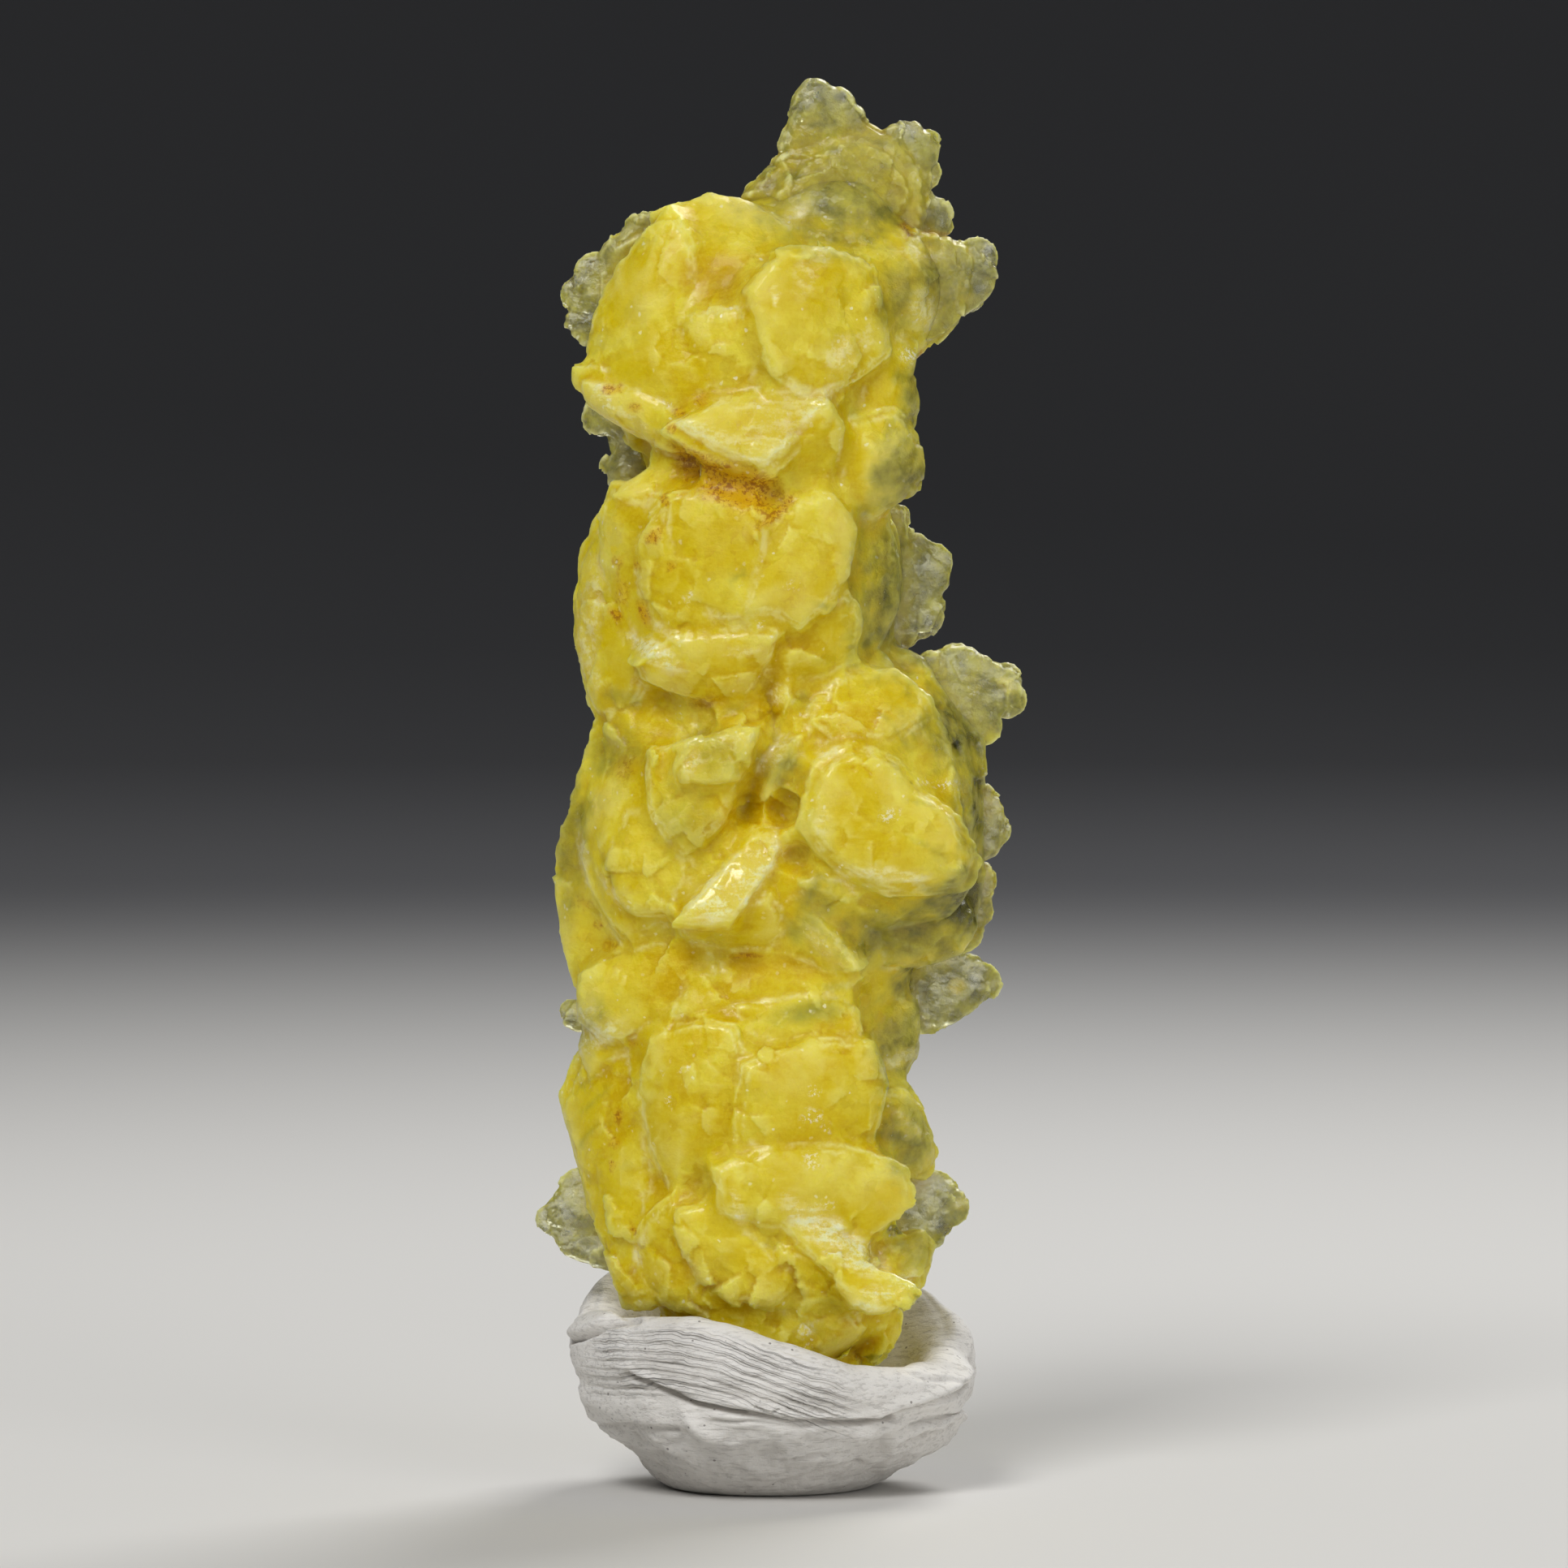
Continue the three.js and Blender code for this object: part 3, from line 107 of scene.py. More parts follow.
# Front plates: name, (turn, tilt) of the face, depth of the middle, thickness, dome, root, layers,
# and [x, z] of the rim's corners, seen from the front
PLATES = [
    # Upper lump
    ("upper_dome", (-30, 6), -4.8, 1.6, 1.7, 4.0, 1,
     [(-6.3, 78.9), (-9.3, 75.4), (-10.8, 72.4), (-11.3, 68.8), (-10.4, 66.9), (-7.6, 65.7),
      (-4.8, 66), (-3.4, 68.5), (-4.6, 72), (-4.8, 76.4)]),
    ("upper_crown", (-6, 34), -3.4, 1.3, 0.8, 3.5, 1,
     [(-6.8, 78.6), (-3.7, 79.8), (-1.2, 79.4), (0.8, 78), (1, 76.2), (-1.4, 75.6), (-4.4, 76.2)]),
    ("upper_scallop", (-16, -6), -7.2, 1.3, 0.7, 3.5, 1,
     [(-5.2, 71.8), (-4.2, 72.4), (-2.2, 72.7), (-0.7, 71.6), (-0.4, 69.8), (-1.4, 67.6), (-3.4, 66.5),
      (-5, 68.6)]),
    ("upper_right", (26, 8), -6.9, 1.5, 0.7, 4.0, 1,
     [(-0.9, 73.9), (1.3, 76.2), (3.6, 76.4), (6.3, 75.4), (7, 72.6), (7.3, 70.2), (5.4, 68.6),
      (2.6, 67.6), (0.4, 69)]),
    ("pearly_ledge", (4, 20), -8.5, 1.4, 0.3, 3.5, 3,
     [(-5.2, 65.9), (-3, 64.4), (-0.9, 63.5), (0.3, 63.8), (2, 65.7), (3.5, 67.4), (2.8, 68.5),
      (0.2, 68.2), (-2.6, 67.2)]),
    ("under_ledge", (14, -22), -7.5, 1.1, 0.4, 3.5, 1,
     [(-0.9, 62.9), (1.4, 65), (3.6, 66.9), (4.6, 65.4), (4, 63.1), (2.8, 61.7), (1.4, 61.4)]),
    ("lower_left_edge", (-26, -10), -5.9, 1.7, 0.4, 3.5, 3,
     [(-11, 68), (-10.9, 66.9), (-8.4, 65.2), (-5.8, 64), (-3.8, 64.2), (-5.2, 66.2), (-8, 67.6)]),
    ("right_shoulder", (34, 0), -3.8, 1.3, 0.8, 3.5, 1,
     [(7.2, 71.3), (9.2, 70.2), (8.9, 68.6), (9.2, 66.8), (8.8, 65.2), (7, 64.2), (5.6, 66.6),
      (6, 69.8)]),
    ("right_bulge", (26, -6), -4.8, 1.3, 1.3, 3.5, 1,
     [(5.2, 65.7), (7.7, 66.3), (9.1, 64.9), (9.5, 62.8), (9.2, 61.4), (8, 60.8), (6.5, 60),
      (4.9, 60.5), (4.4, 62.7)]),
    # Middle lump
    ("middle_crown", (-6, 30), -6.0, 1.1, 0.5, 3.5, 1,
     [(-9.2, 61.5), (-6.1, 63.4), (-3.5, 63.2), (-0.9, 62.4), (1.7, 61.5), (0, 60), (-3.5, 60.8),
      (-6.8, 60.6)]),
    ("fan_outer", (-48, -4), -2.6, 1.2, 0.7, 3.5, 3,
     [(-10.4, 59.1), (-11.5, 57.1), (-11.9, 54.9), (-11.9, 52.5), (-11.4, 50.3), (-10.5, 47.8),
      (-9, 48.4), (-7.7, 51.2), (-8.6, 55)]),
    ("fan_middle", (-34, -4), -5.3, 1.3, 0.8, 3.5, 1,
     [(-9.6, 61.7), (-10.3, 59.3), (-10.4, 57.4), (-9.5, 54.6), (-8.1, 52.3), (-5.7, 50.9),
      (-4.6, 52.2), (-5.6, 56.7), (-6.1, 60.8)]),
    ("fan_inner", (-20, -4), -7.0, 1.1, 0.6, 3.0, 1,
     [(-6.6, 60.6), (-7.9, 58.6), (-8, 56), (-7, 53.6), (-5, 52.4), (-3.4, 53.6), (-4, 57.4),
      (-4.6, 60.2)]),
    ("middle_plate", (-14, -4), -8.0, 1.3, 0.6, 3.5, 1,
     [(-6.1, 61.2), (-6, 58.6), (-5.5, 56.4), (-5.1, 54.7), (-3.5, 54), (-0.9, 54), (-0.6, 57),
      (-0.1, 59.9), (-1.4, 61), (-3.5, 61.7)]),
    ("middle_right_plate", (10, 2), -8.0, 1.6, 0.5, 4.0, 1,
     [(-0.1, 59.3), (2, 61.3), (3.9, 61.2), (5.2, 59.3), (4.8, 56.7), (3.9, 55.5), (2, 53.5),
      (0.7, 54.3), (-1.1, 54.6)]),
    ("middle_skirt", (-6, -22), -7.0, 1.2, 0.6, 3.5, 1,
     [(-7.7, 51.2), (-5.2, 52.6), (-2, 52.9), (0.3, 52.8), (-0.5, 50.3), (-1.8, 49), (-3.5, 48.6),
      (-5.7, 49.3), (-7.4, 50)]),
    ("middle_right_skirt", (14, -16), -6.4, 1.2, 0.6, 3.5, 1,
     [(0.6, 52.8), (2.2, 54), (4.7, 55.2), (5.6, 53.8), (5.1, 51.4), (3.7, 50.4), (1.3, 50.2),
      (-0.2, 50.8)]),
    ("middle_green", (30, -4), -3.6, 1.2, 0.6, 3.0, 1,
     [(5, 59.6), (7, 60.2), (8, 57.6), (8, 54.4), (6.8, 52), (5, 51.2), (4.8, 55.4)]),
    # Rosette on the right
    ("rosette_back", (12, 0), -1.6, 2.2, 0.8, 3.5, 1,
     [(4.4, 50.4), (7.1, 51.9), (9.6, 51.1), (11.4, 48.2), (13.4, 46), (13.3, 42), (13.3, 37.9),
      (12.8, 34.6), (9.5, 33), (5, 34), (3.2, 42)]),
    ("rosette_dome", (12, 6), -6.0, 1.5, 1.4, 4.0, 1,
     [(2.6, 48.6), (4.6, 50.3), (7.7, 50.7), (9.8, 49), (11.2, 45.4), (11.9, 40.2), (11.2, 38.1),
      (6.4, 38), (2.8, 41.1), (2.4, 44.4)]),
    ("rosette_front", (8, 4), -8.5, 1.3, 0.7, 3.0, 3,
     [(3.4, 44.7), (5.2, 45.7), (7.7, 44.9), (8.9, 43.4), (10.9, 41.9), (12, 39.6), (11.3, 38.1),
      (7.1, 37.9), (4.2, 39.4), (2.6, 41.4)]),
    ("rosette_crown", (10, 32), -6.0, 1.1, 0.6, 3.0, 1,
     [(4.2, 49.9), (6.8, 50.7), (9, 49.9), (9.4, 48), (7.4, 46.8), (4.8, 46.8), (3, 48)]),
    ("rosette_left_rims", (-38, 2), -6.2, 1.6, 0.5, 3.0, 1,
     [(2, 47), (3.6, 47.8), (4.2, 44.4), (3.4, 41), (2.7, 38.7), (1, 40.4), (0.8, 43.7)]),
    ("rosette_under", (8, -30), -6.7, 1.2, 0.6, 3.5, 1,
     [(2.2, 37.7), (5.4, 38.3), (9.5, 38), (11.8, 37.2), (10.6, 35.6), (6.4, 34.9), (3.2, 35.4)]),
    ("rosette_skirt", (20, -20), -4.0, 1.3, 0.6, 3.5, 1,
     [(6.8, 35), (9.6, 35.9), (12.2, 36), (12.9, 34.7), (11.9, 33.1), (9.7, 32.4), (7.2, 32.6)]),
    ("lower_blades", (-24, -16), -6.8, 1.6, 0.3, 3.0, 1,
     [(0, 37.3), (1.6, 37.1), (3.2, 35.5), (4.2, 34.2), (5.4, 32.5), (3.4, 32.4), (1.4, 33.4),
      (0.4, 35)]),
    # Left middle
    ("left_top_slab", (-22, 14), -4.3, 1.1, 0.4, 3.0, 1,
     [(-9.3, 48.4), (-6.3, 48.3), (-4.3, 47.9), (-4.9, 46), (-6.7, 44.4), (-8.7, 45.4), (-10, 47)]),
    ("left_outer_sheet", (-30, 0), -1.6, 1.5, 0.6, 3.0, 1,
     [(-9.6, 47.1), (-11.1, 46.9), (-11.7, 44.8), (-12.7, 41), (-13.3, 39), (-13.2, 36.5),
      (-12.9, 34.1), (-12, 30.9), (-9.4, 32.6), (-8.4, 38), (-8.6, 43.4)]),
    ("left_nest_outer", (-30, 4), -4.6, 1.3, 0.5, 3.5, 3,
     [(-9.9, 42.8), (-11.6, 39.3), (-10.5, 36.3), (-9, 34.3), (-6.7, 35.1), (-5.2, 38), (-5.6, 41.6),
      (-8, 43.4)]),
    ("left_nest_inner", (-22, 4), -6.1, 1.1, 0.5, 3.0, 1,
     [(-8.5, 42.1), (-10, 38.9), (-9.4, 36.9), (-8.1, 35.9), (-6, 36.2), (-5, 38.9), (-6.6, 41.7)]),
    ("left_shield", (-8, 8), -7.1, 1.3, 0.4, 3.5, 1,
     [(-7.2, 42.2), (-5.2, 39.8), (-2.9, 41.7), (-1.8, 44.2), (-2.8, 45.9), (-5.4, 46.4), (-7.3, 45.6)]),
    ("clear_tablet", (-6, 6), -8.3, 1.4, 0.1, 2.2, 1,
     [(-5.4, 44.8), (-5, 46.4), (-2.8, 47), (-0.8, 47.2), (-2, 44.3), (-5.1, 44)]),
    ("pearl_plate", (2, 18), -8.1, 1.4, 0.2, 3.5, 1,
     [(-5.4, 35.8), (-2.8, 38.6), (-1, 40.9), (0.6, 40.9), (0.4, 39.1), (-1.2, 37), (-2.2, 35.6)]),
    ("pearl_under", (0, -24), -7.0, 1.1, 0.4, 3.5, 1,
     [(-5.4, 35.6), (-2.4, 36.2), (0, 36.9), (0.8, 34.9), (0, 33.8), (-2.8, 33.6), (-5, 34.4)]),
    ("clear_chip", (-16, 4), -7.2, 1.1, 0.2, 5.0, 1,
     [(-0.4, 45.2), (0.4, 46.1), (1.8, 46.7), (1.6, 45.5), (0.8, 44.3), (-0.2, 43.3)]),
    ("clear_knob", (0, 10), -6.7, 1.0, 0.3, 2.4, 1,
     [(0, 49.8), (1, 50), (1.4, 49.2), (0.9, 47.9), (0.1, 48.2)]),
    # Waist
    ("waist_left", (-22, 10), -4.9, 1.3, 0.5, 3.5, 1,
     [(-11.6, 32), (-7.9, 34), (-3.9, 34.3), (-3.2, 32.2), (-6.4, 29.5), (-9.6, 27.9), (-11.6, 29.4)]),
    ("waist_slope", (0, 14), -6.3, 1.1, 0.4, 3.5, 1,
     [(-3.9, 33), (0.6, 33.9), (5.4, 32), (3.4, 30.9), (-1.4, 29.9), (-5.6, 29.8)]),
    ("arch_window", (4, 10), -7.0, 1.0, 0.3, 3.0, 1,
     [(-1.9, 30.2), (2.6, 31), (5.2, 30.2), (5.4, 28.6), (1, 28), (-1.6, 28.8)]),
    ("right_curtain", (34, 0), -2.6, 1.1, 0.5, 3.0, 1,
     [(6.6, 30.6), (9.2, 30.2), (9.2, 26.8), (8.1, 25.5), (7, 25.8), (6.2, 28)]),
    ("left_pearl", (-36, 6), -3.4, 1.1, 0.4, 3.0, 1,
     [(-11.2, 30.2), (-8.7, 29), (-8.8, 27.4), (-10.9, 25.9), (-11.6, 27.4)]),
    # Belly and foot
    ("belly_left", (-20, -4), -7.1, 1.4, 1.2, 4.0, 1,
     [(-7.3, 28.2), (-4.6, 29.2), (-2.3, 28.9), (-1.7, 26.4), (-1.9, 23.1), (-3, 20.1), (-5.6, 18.4),
      (-7.1, 21.2), (-8, 25)]),
    ("belly_right", (14, -6), -7.5, 1.4, 1.0, 4.0, 1,
     [(-1.2, 26.6), (2.7, 28.1), (6.4, 27.9), (7.3, 25.3), (6.6, 22.3), (5.1, 20.9), (1.8, 20.5),
      (-1.6, 22.3)]),
    ("left_column", (-44, 0), -3.2, 1.4, 0.9, 3.5, 3,
     [(-8.9, 28.2), (-11.7, 25.9), (-12.7, 23.3), (-12.1, 21.2), (-11.3, 18.4), (-10.3, 15.2),
      (-9.2, 12.2), (-7.4, 12.6), (-7.6, 17.6), (-7.6, 22.6)]),
    ("right_book", (32, -6), -3.6, 2.2, 0.6, 3.5, 3,
     [(6.4, 24.6), (8.6, 24.6), (9.5, 23.2), (10.1, 21.2), (9.8, 19.9), (8.6, 20), (6.4, 20.4),
      (5.6, 22.4)]),
    ("foot_smooth", (10, -6), -8.0, 1.3, 0.8, 4.0, 1,
     [(-3, 20.3), (0.4, 21.5), (4.4, 21.5), (8.2, 20.2), (8.6, 18), (6.6, 16.4), (3.7, 16.8),
      (0.2, 16.9), (-2.6, 17.6)]),
    ("bright_ledge", (10, 16), -8.5, 1.3, 0.2, 3.5, 1,
     [(0.9, 17.2), (3.5, 17.4), (4.8, 16.3), (7, 14.4), (9, 13.3), (8.7, 12.5), (7, 11.9), (5.6, 12.3),
      (3.3, 14.6)]),
    ("bright_under", (4, -24), -7.1, 1.1, 0.4, 3.5, 1,
     [(0.8, 15.4), (3.6, 14.5), (5.8, 12), (3.9, 10.9), (1.6, 11), (-0.4, 13)]),
    ("foot_corner", (30, 0), -4.8, 1.2, 0.4, 5.5, 1,
     [(7, 14.8), (9.4, 16.1), (10.3, 15.2), (9.5, 13.1), (8.6, 12.2), (7.2, 12.7)]),
    ("foot_scallop", (-2, -4), -8.0, 1.2, 0.5, 3.5, 1,
     [(-5.6, 17.7), (-3.2, 18.1), (-1.4, 16.7), (0.4, 14.9), (1.6, 13.4), (0.2, 12.4), (-2.2, 12.5),
      (-4.5, 14), (-5.4, 15.7)]),
    ("foot_left_scallop", (-26, -10), -6.5, 1.2, 0.6, 3.5, 1,
     [(-5.8, 18.5), (-7.4, 17), (-8.1, 15.2), (-7.4, 13), (-6, 11.6), (-3.8, 11.8), (-4.4, 14.4),
      (-5.2, 16.4)]),
    ("base_front", (2, -16), -6.0, 1.3, 0.5, 3.5, 1,
     [(-4, 11.9), (0.3, 13.2), (4.4, 11.6), (5.7, 10.2), (4.4, 8.3), (1, 7.6), (-3, 8.6)]),
    ("base_right_knob", (30, -6), -3.6, 1.5, 0.7, 5.5, 1,
     [(5.6, 11.4), (7.8, 12), (8.3, 10.5), (7.9, 8.9), (6.8, 7.7), (5.6, 8.7)]),
]


# Plates of the sides and the back: name, middle, (turn, tilt, roll), half sizes, thickness, dome, root
OVALS = [
    ("crown_back", (-1.0, 4.4, 75.2), (184, 24, 20), (5.2, 4.0), 1.3, 1.0, 3.5),
    ("upper_back_left", (-5.8, 4.6, 71.4), (218, 4, 8), (4.4, 5.4), 1.4, 1.0, 3.5),
    ("upper_back", (-0.4, 6.6, 69.6), (178, -4, 0), (4.4, 4.8), 1.4, 0.9, 3.5),
    ("upper_back_right", (4.6, 4.8, 66.8), (146, -4, 12), (4.4, 4.8), 1.4, 0.9, 3.5),
    ("upper_side_left", (-8.6, 1.0, 69.8), (262, 4, 10), (4.0, 4.8), 1.2, 0.6, 3.0),
    ("upper_side_right", (6.6, 0.8, 69.2), (92, 6, 0), (3.8, 4.6), 1.2, 0.6, 3.0),
    ("waist_back_high", (-1.8, 5.2, 62.6), (190, 6, 78), (3.0, 5.0), 1.2, 0.6, 3.0),
    ("middle_back_left", (-6.6, 4.8, 57.4), (220, 4, 0), (4.4, 5.4), 1.4, 0.9, 3.5),
    ("middle_back", (-1.0, 6.8, 55.4), (182, -6, 12), (4.8, 5.0), 1.4, 0.9, 3.5),
    ("middle_back_right", (3.5, 4.4, 58.0), (140, 4, 0), (3.8, 4.8), 1.3, 0.8, 3.5),
    ("middle_side_left", (-9.2, 1.4, 55.0), (264, 0, 0), (4.2, 5.2), 1.2, 0.6, 3.0),
    ("neck_back", (-2.6, 5.0, 48.2), (196, -6, 74), (3.4, 5.2), 1.3, 0.7, 3.0),
    ("rosette_rear", (8.2, 4.6, 42.8), (156, 4, 0), (4.8, 6.8), 1.5, 1.0, 3.5),
    ("rosette_side", (12.0, 0.8, 41.6), (96, 0, 6), (4.0, 6.0), 1.2, 0.5, 3.0),
    ("centre_back", (1.2, 5.2, 40.8), (184, 0, 12), (4.6, 6.0), 1.4, 0.9, 3.5),
    ("left_back", (-7.0, 4.6, 39.2), (214, 2, 0), (4.6, 6.6), 1.4, 0.9, 3.5),
    ("left_side", (-10.4, 1.6, 39.0), (266, 0, 0), (3.8, 6.2), 1.1, 0.5, 3.0),
    ("waist_back_right", (5.6, 4.4, 32.2), (152, -8, 20), (4.4, 4.4), 1.3, 0.8, 3.5),
    ("waist_back_left", (-5.2, 5.4, 30.8), (206, -4, 60), (4.2, 5.4), 1.3, 0.8, 3.5),
    ("belly_back", (0.2, 6.8, 24.2), (180, 2, 0), (5.2, 5.4), 1.4, 1.0, 3.5),
    ("belly_back_left", (-7.2, 4.6, 21.6), (222, 0, 0), (4.2, 6.0), 1.4, 0.8, 3.5),
    ("belly_back_right", (5.4, 4.6, 19.6), (144, -2, 0), (4.0, 5.2), 1.3, 0.8, 3.5),
    ("belly_side_left", (-9.4, 0.8, 20.6), (268, 0, 0), (3.8, 5.4), 1.1, 0.5, 3.0),
    ("foot_back", (-1.6, 5.8, 14.8), (186, -12, 78), (3.8, 5.6), 1.3, 0.8, 3.5),
]


# Clear free sheets: name, (turn, tilt), depth of the middle, thickness, and the rim's corners
SHEETS = [
    ("spire_tip", (4, 0), 0.2, 2.0,
     [(1.6, 86), (2.5, 86.9), (3.7, 86.7), (5, 86), (6.1, 84.3), (6.4, 82.2), (4, 81), (1.2, 81),
      (0.6, 82.6), (1.1, 84.2)]),
    ("spire_right", (12, 0), 0.8, 1.8,
     [(7.1, 83.8), (8.8, 84.4), (10.1, 83.4), (10.5, 82.3), (10, 81.3), (9.7, 79.8), (6.8, 78.8),
      (5.4, 81.8)]),
    ("spire_body", (4, 6), 0.4, 3.8,
     [(0, 81.2), (0.9, 82.4), (3.2, 83.4), (6.2, 84.1), (9, 82), (9.7, 80), (9.3, 77), (5.7, 75.4),
      (1.2, 76.4), (-1.7, 79.3), (-0.8, 80.5)]),
    ("spire_fringe", (10, 0), 1.6, 1.1,
     [(9, 80.3), (10.7, 79.4), (11.3, 78.4), (11, 77.2), (9.4, 76.2), (7.6, 77.4)]),
    ("wing", (12, 0), -0.4, 2.8,
     [(6.9, 76.9), (8.7, 77.5), (11.2, 77.2), (12.6, 76.2), (12.3, 73.4), (11.6, 71.6), (9.8, 70.5),
      (7.2, 70.6), (5.6, 73.2)]),
    ("wing_tip", (14, 0), 0.4, 1.7,
     [(12, 76.7), (12.9, 76.4), (14, 75.1), (14, 74.2), (13.5, 73.3), (12.1, 72.4), (10.4, 73.4),
      (10.6, 76)]),
    ("back_sheet_upper", (-10, 0), 2.4, 1.4,
     [(-6.2, 78.3), (-7.2, 78.8), (-8.6, 78), (-10.1, 76.6), (-10.7, 75.4), (-11.8, 74.4),
      (-12.4, 72.7), (-12.7, 71.9), (-11.6, 70.5), (-8.8, 69.4), (-5.4, 70.4), (-4.6, 75.4)]),
    ("back_sheet_lower", (-12, 0), 2.6, 1.3,
     [(-10.4, 69), (-11.1, 67.2), (-11, 65.8), (-10.1, 65.1), (-9.3, 64.3), (-10.1, 62.9),
      (-9.7, 61.3), (-8, 60.6), (-5.4, 61.4), (-5, 67.6)]),
    ("middle_right_sheet", (16, 0), 0.8, 1.6,
     [(5, 60.2), (8.1, 60.8), (8.6, 58.7), (9.8, 57.7), (11.1, 56.7), (11.1, 55.6), (10.4, 54.7),
      (10.8, 53.9), (10.4, 52.6), (8.4, 51.6), (5.2, 50.4), (4.2, 54)]),
    ("rosette_spike", (12, 0), 0.4, 2.0,
     [(9, 51.2), (11.5, 52.1), (13.1, 51.5), (14.3, 50.8), (15.5, 50.1), (15.7, 49.3), (15.2, 48.3),
      (14, 47.3), (13.4, 46.2), (10.6, 46.4), (8.8, 48.6)]),
    ("rosette_rim_upper", (12, 0), 0.4, 1.6,
     [(12.4, 43.9), (13.6, 43.3), (14.6, 42.2), (14.5, 40.3), (13.9, 38.9), (12, 38.6), (11.4, 41.6)]),
    ("rosette_rim_lower", (12, 0), 0.8, 1.4,
     [(12.2, 39), (13.7, 38.4), (13.9, 37.2), (13.7, 35.6), (13, 34.2), (11, 33.8), (10.6, 37)]),
    ("right_flag", (8, 0), 1.0, 1.4,
     [(9.8, 33.4), (12.4, 32.9), (13.8, 31.9), (13.6, 30.3), (12.1, 28.9), (10.6, 28.3), (9.2, 28.6),
      (7.2, 30.2), (7.8, 32.8)]),
    ("left_knob", (-10, 0), 0.2, 1.2,
     [(-11, 30.6), (-12.2, 29.8), (-12.8, 28.8), (-12, 28.1), (-10, 28), (-9.4, 29.8)]),
    ("left_flake", (-12, 0), 0.6, 1.3,
     [(-13.8, 17.2), (-13.2, 18), (-11.6, 18.9), (-10.2, 18.6), (-8.2, 16.6), (-8.2, 13.4),
      (-10.3, 13.5), (-12.4, 14.1), (-13.5, 15.4)]),
    ("right_flake", (10, 0), 0.6, 1.6,
     [(8.6, 18.6), (10.7, 19), (11.8, 18.6), (12.5, 17.4), (11.4, 16.2), (10.2, 14.9), (8, 13.4),
      (6.8, 16.4)]),
    ("spire_lobe", (6, 10), -0.9, 2.0,
     [(2, 81.6), (4.6, 83), (7.4, 82.2), (8.8, 79.4), (6, 76.8), (1.8, 77.6), (0.2, 79.6)]),
    ("spire_foot", (-4, 24), -1.5, 2.0,
     [(0.2, 79.4), (2.8, 80.2), (6.2, 79), (6.4, 76.6), (3.2, 75.6), (0.6, 76.4), (-1, 77.8)]),
    ("wing_lobe", (24, 6), -0.9, 1.8,
     [(7, 76.4), (10.2, 76.8), (12, 74.9), (10.4, 72), (7.8, 71.4), (6.6, 73.8)]),
]

# Clear sheets of the sides and the back: name, middle, (turn, tilt, roll), half sizes, thickness
SIDE_SHEETS = [
    ("right_fin_high", (5.8, 3.6, 70.4), (150, 8, 14), (3.0, 3.6), 1.6),
    ("right_fin_middle", (5.2, 4.0, 56.6), (156, -6, -20), (3.0, 3.4), 1.6),
    ("right_fin_waist", (6.2, 4.0, 31.8), (152, 10, -16), (3.2, 3.4), 1.6),
    ("left_fin_high", (-6.2, 3.6, 74.2), (206, 6, 12), (3.0, 3.4), 1.6),
    ("left_fin_middle", (-7.6, 3.8, 50.4), (208, -8, 16), (3.0, 3.8), 1.6),
    ("left_fin_waist", (-7.2, 4.2, 26.8), (210, 8, 10), (3.0, 3.2), 1.6),
    ("back_fin_high", (-2.4, 5.8, 64.6), (196, 14, 40), (3.0, 2.4), 1.5),
    ("back_fin_low", (1.8, 5.6, 34.4), (170, 12, -30), (3.0, 2.4), 1.5),
]


# Small helpers for work by hand


def pick_only(*objects):
    bpy.ops.object.select_all(action="DESELECT")
    for obj in objects:
        obj.select_set(True)
    bpy.context.view_layer.objects.active = objects[0]


def modify(obj, kind, **settings):
    """Adds a modifier and applies it."""
    pick_only(obj)
    modifier = obj.modifiers.new(kind.title(), kind)
    for key, value in settings.items():
        setattr(modifier, key, value)
    bpy.ops.object.modifier_apply(modifier=modifier.name)


def start_with(primitive, name, **settings):
    """Adds a primitive that a piece is then made of."""
    bpy.ops.object.select_all(action="DESELECT")
    primitive(**settings)
    obj = bpy.context.object
    obj.name = name
    return obj


def edit_all():
    bpy.ops.object.mode_set(mode="EDIT")
    bpy.ops.mesh.select_all(action="SELECT")


def face_outwards():
    bpy.ops.mesh.select_all(action="SELECT")
    bpy.ops.mesh.normals_make_consistent(inside=False)
    bpy.ops.object.mode_set(mode="OBJECT")


def join(objects, name):
    pick_only(*objects)
    if len(objects) > 1:
        bpy.ops.object.join()
    objects[0].name = name
    objects[0].data.name = name
    return objects[0]


def copy_of(obj, matrix=Matrix.Identity(4)):
    """A copy with its own mesh, placed by a matrix that goes into the mesh."""
    twin = obj.copy()
    twin.data = obj.data.copy()
    twin.data.transform(matrix)
    bpy.context.collection.objects.link(twin)
    return twin


def remesh(obj, voxel):
    modify(obj, "REMESH", mode="VOXEL", voxel_size=voxel * MM, use_smooth_shade=True)


def swell(obj, size, strength, name="swell"):
    """Moves the surface in and out by a soft cloud pattern of that size, all in millimetres."""
    texture = bpy.data.textures.new(f"{obj.name}_{name}", "CLOUDS")
    texture.noise_scale = size * MM
    texture.noise_depth = 2
    modify(obj, "DISPLACE", texture=texture, texture_coords="LOCAL", strength=strength * MM, mid_level=0.5)


# Curves, noise and vertex work


def curve_through(values, place):
    """A smooth closed curve through evenly spaced values, at places from 0 to 1 round it."""
    values = np.asarray(values, float)
    step = np.mod(place, 1) * len(values)
    start = np.floor(step).astype(int)
    t = (step - start).reshape(-1, *[1] * (values.ndim - 1))
    a, b, c, d = (np.take(values, start + k, axis=0, mode="wrap") for k in (-1, 0, 1, 2))
    return 0.5 * (2 * b + (c - a) * t + (2 * a - 5 * b + 4 * c - d) * t**2 + (3 * b - a - 3 * c + d) * t**3)


def soft_noise(points, size, seed=0.0):
    """Noise from -1 to 1 at points in millimetres."""
    places = np.asarray(points) / size + (seed, 2 * seed, -seed)
    return np.array([noise.noise(place) for place in places.tolist()])


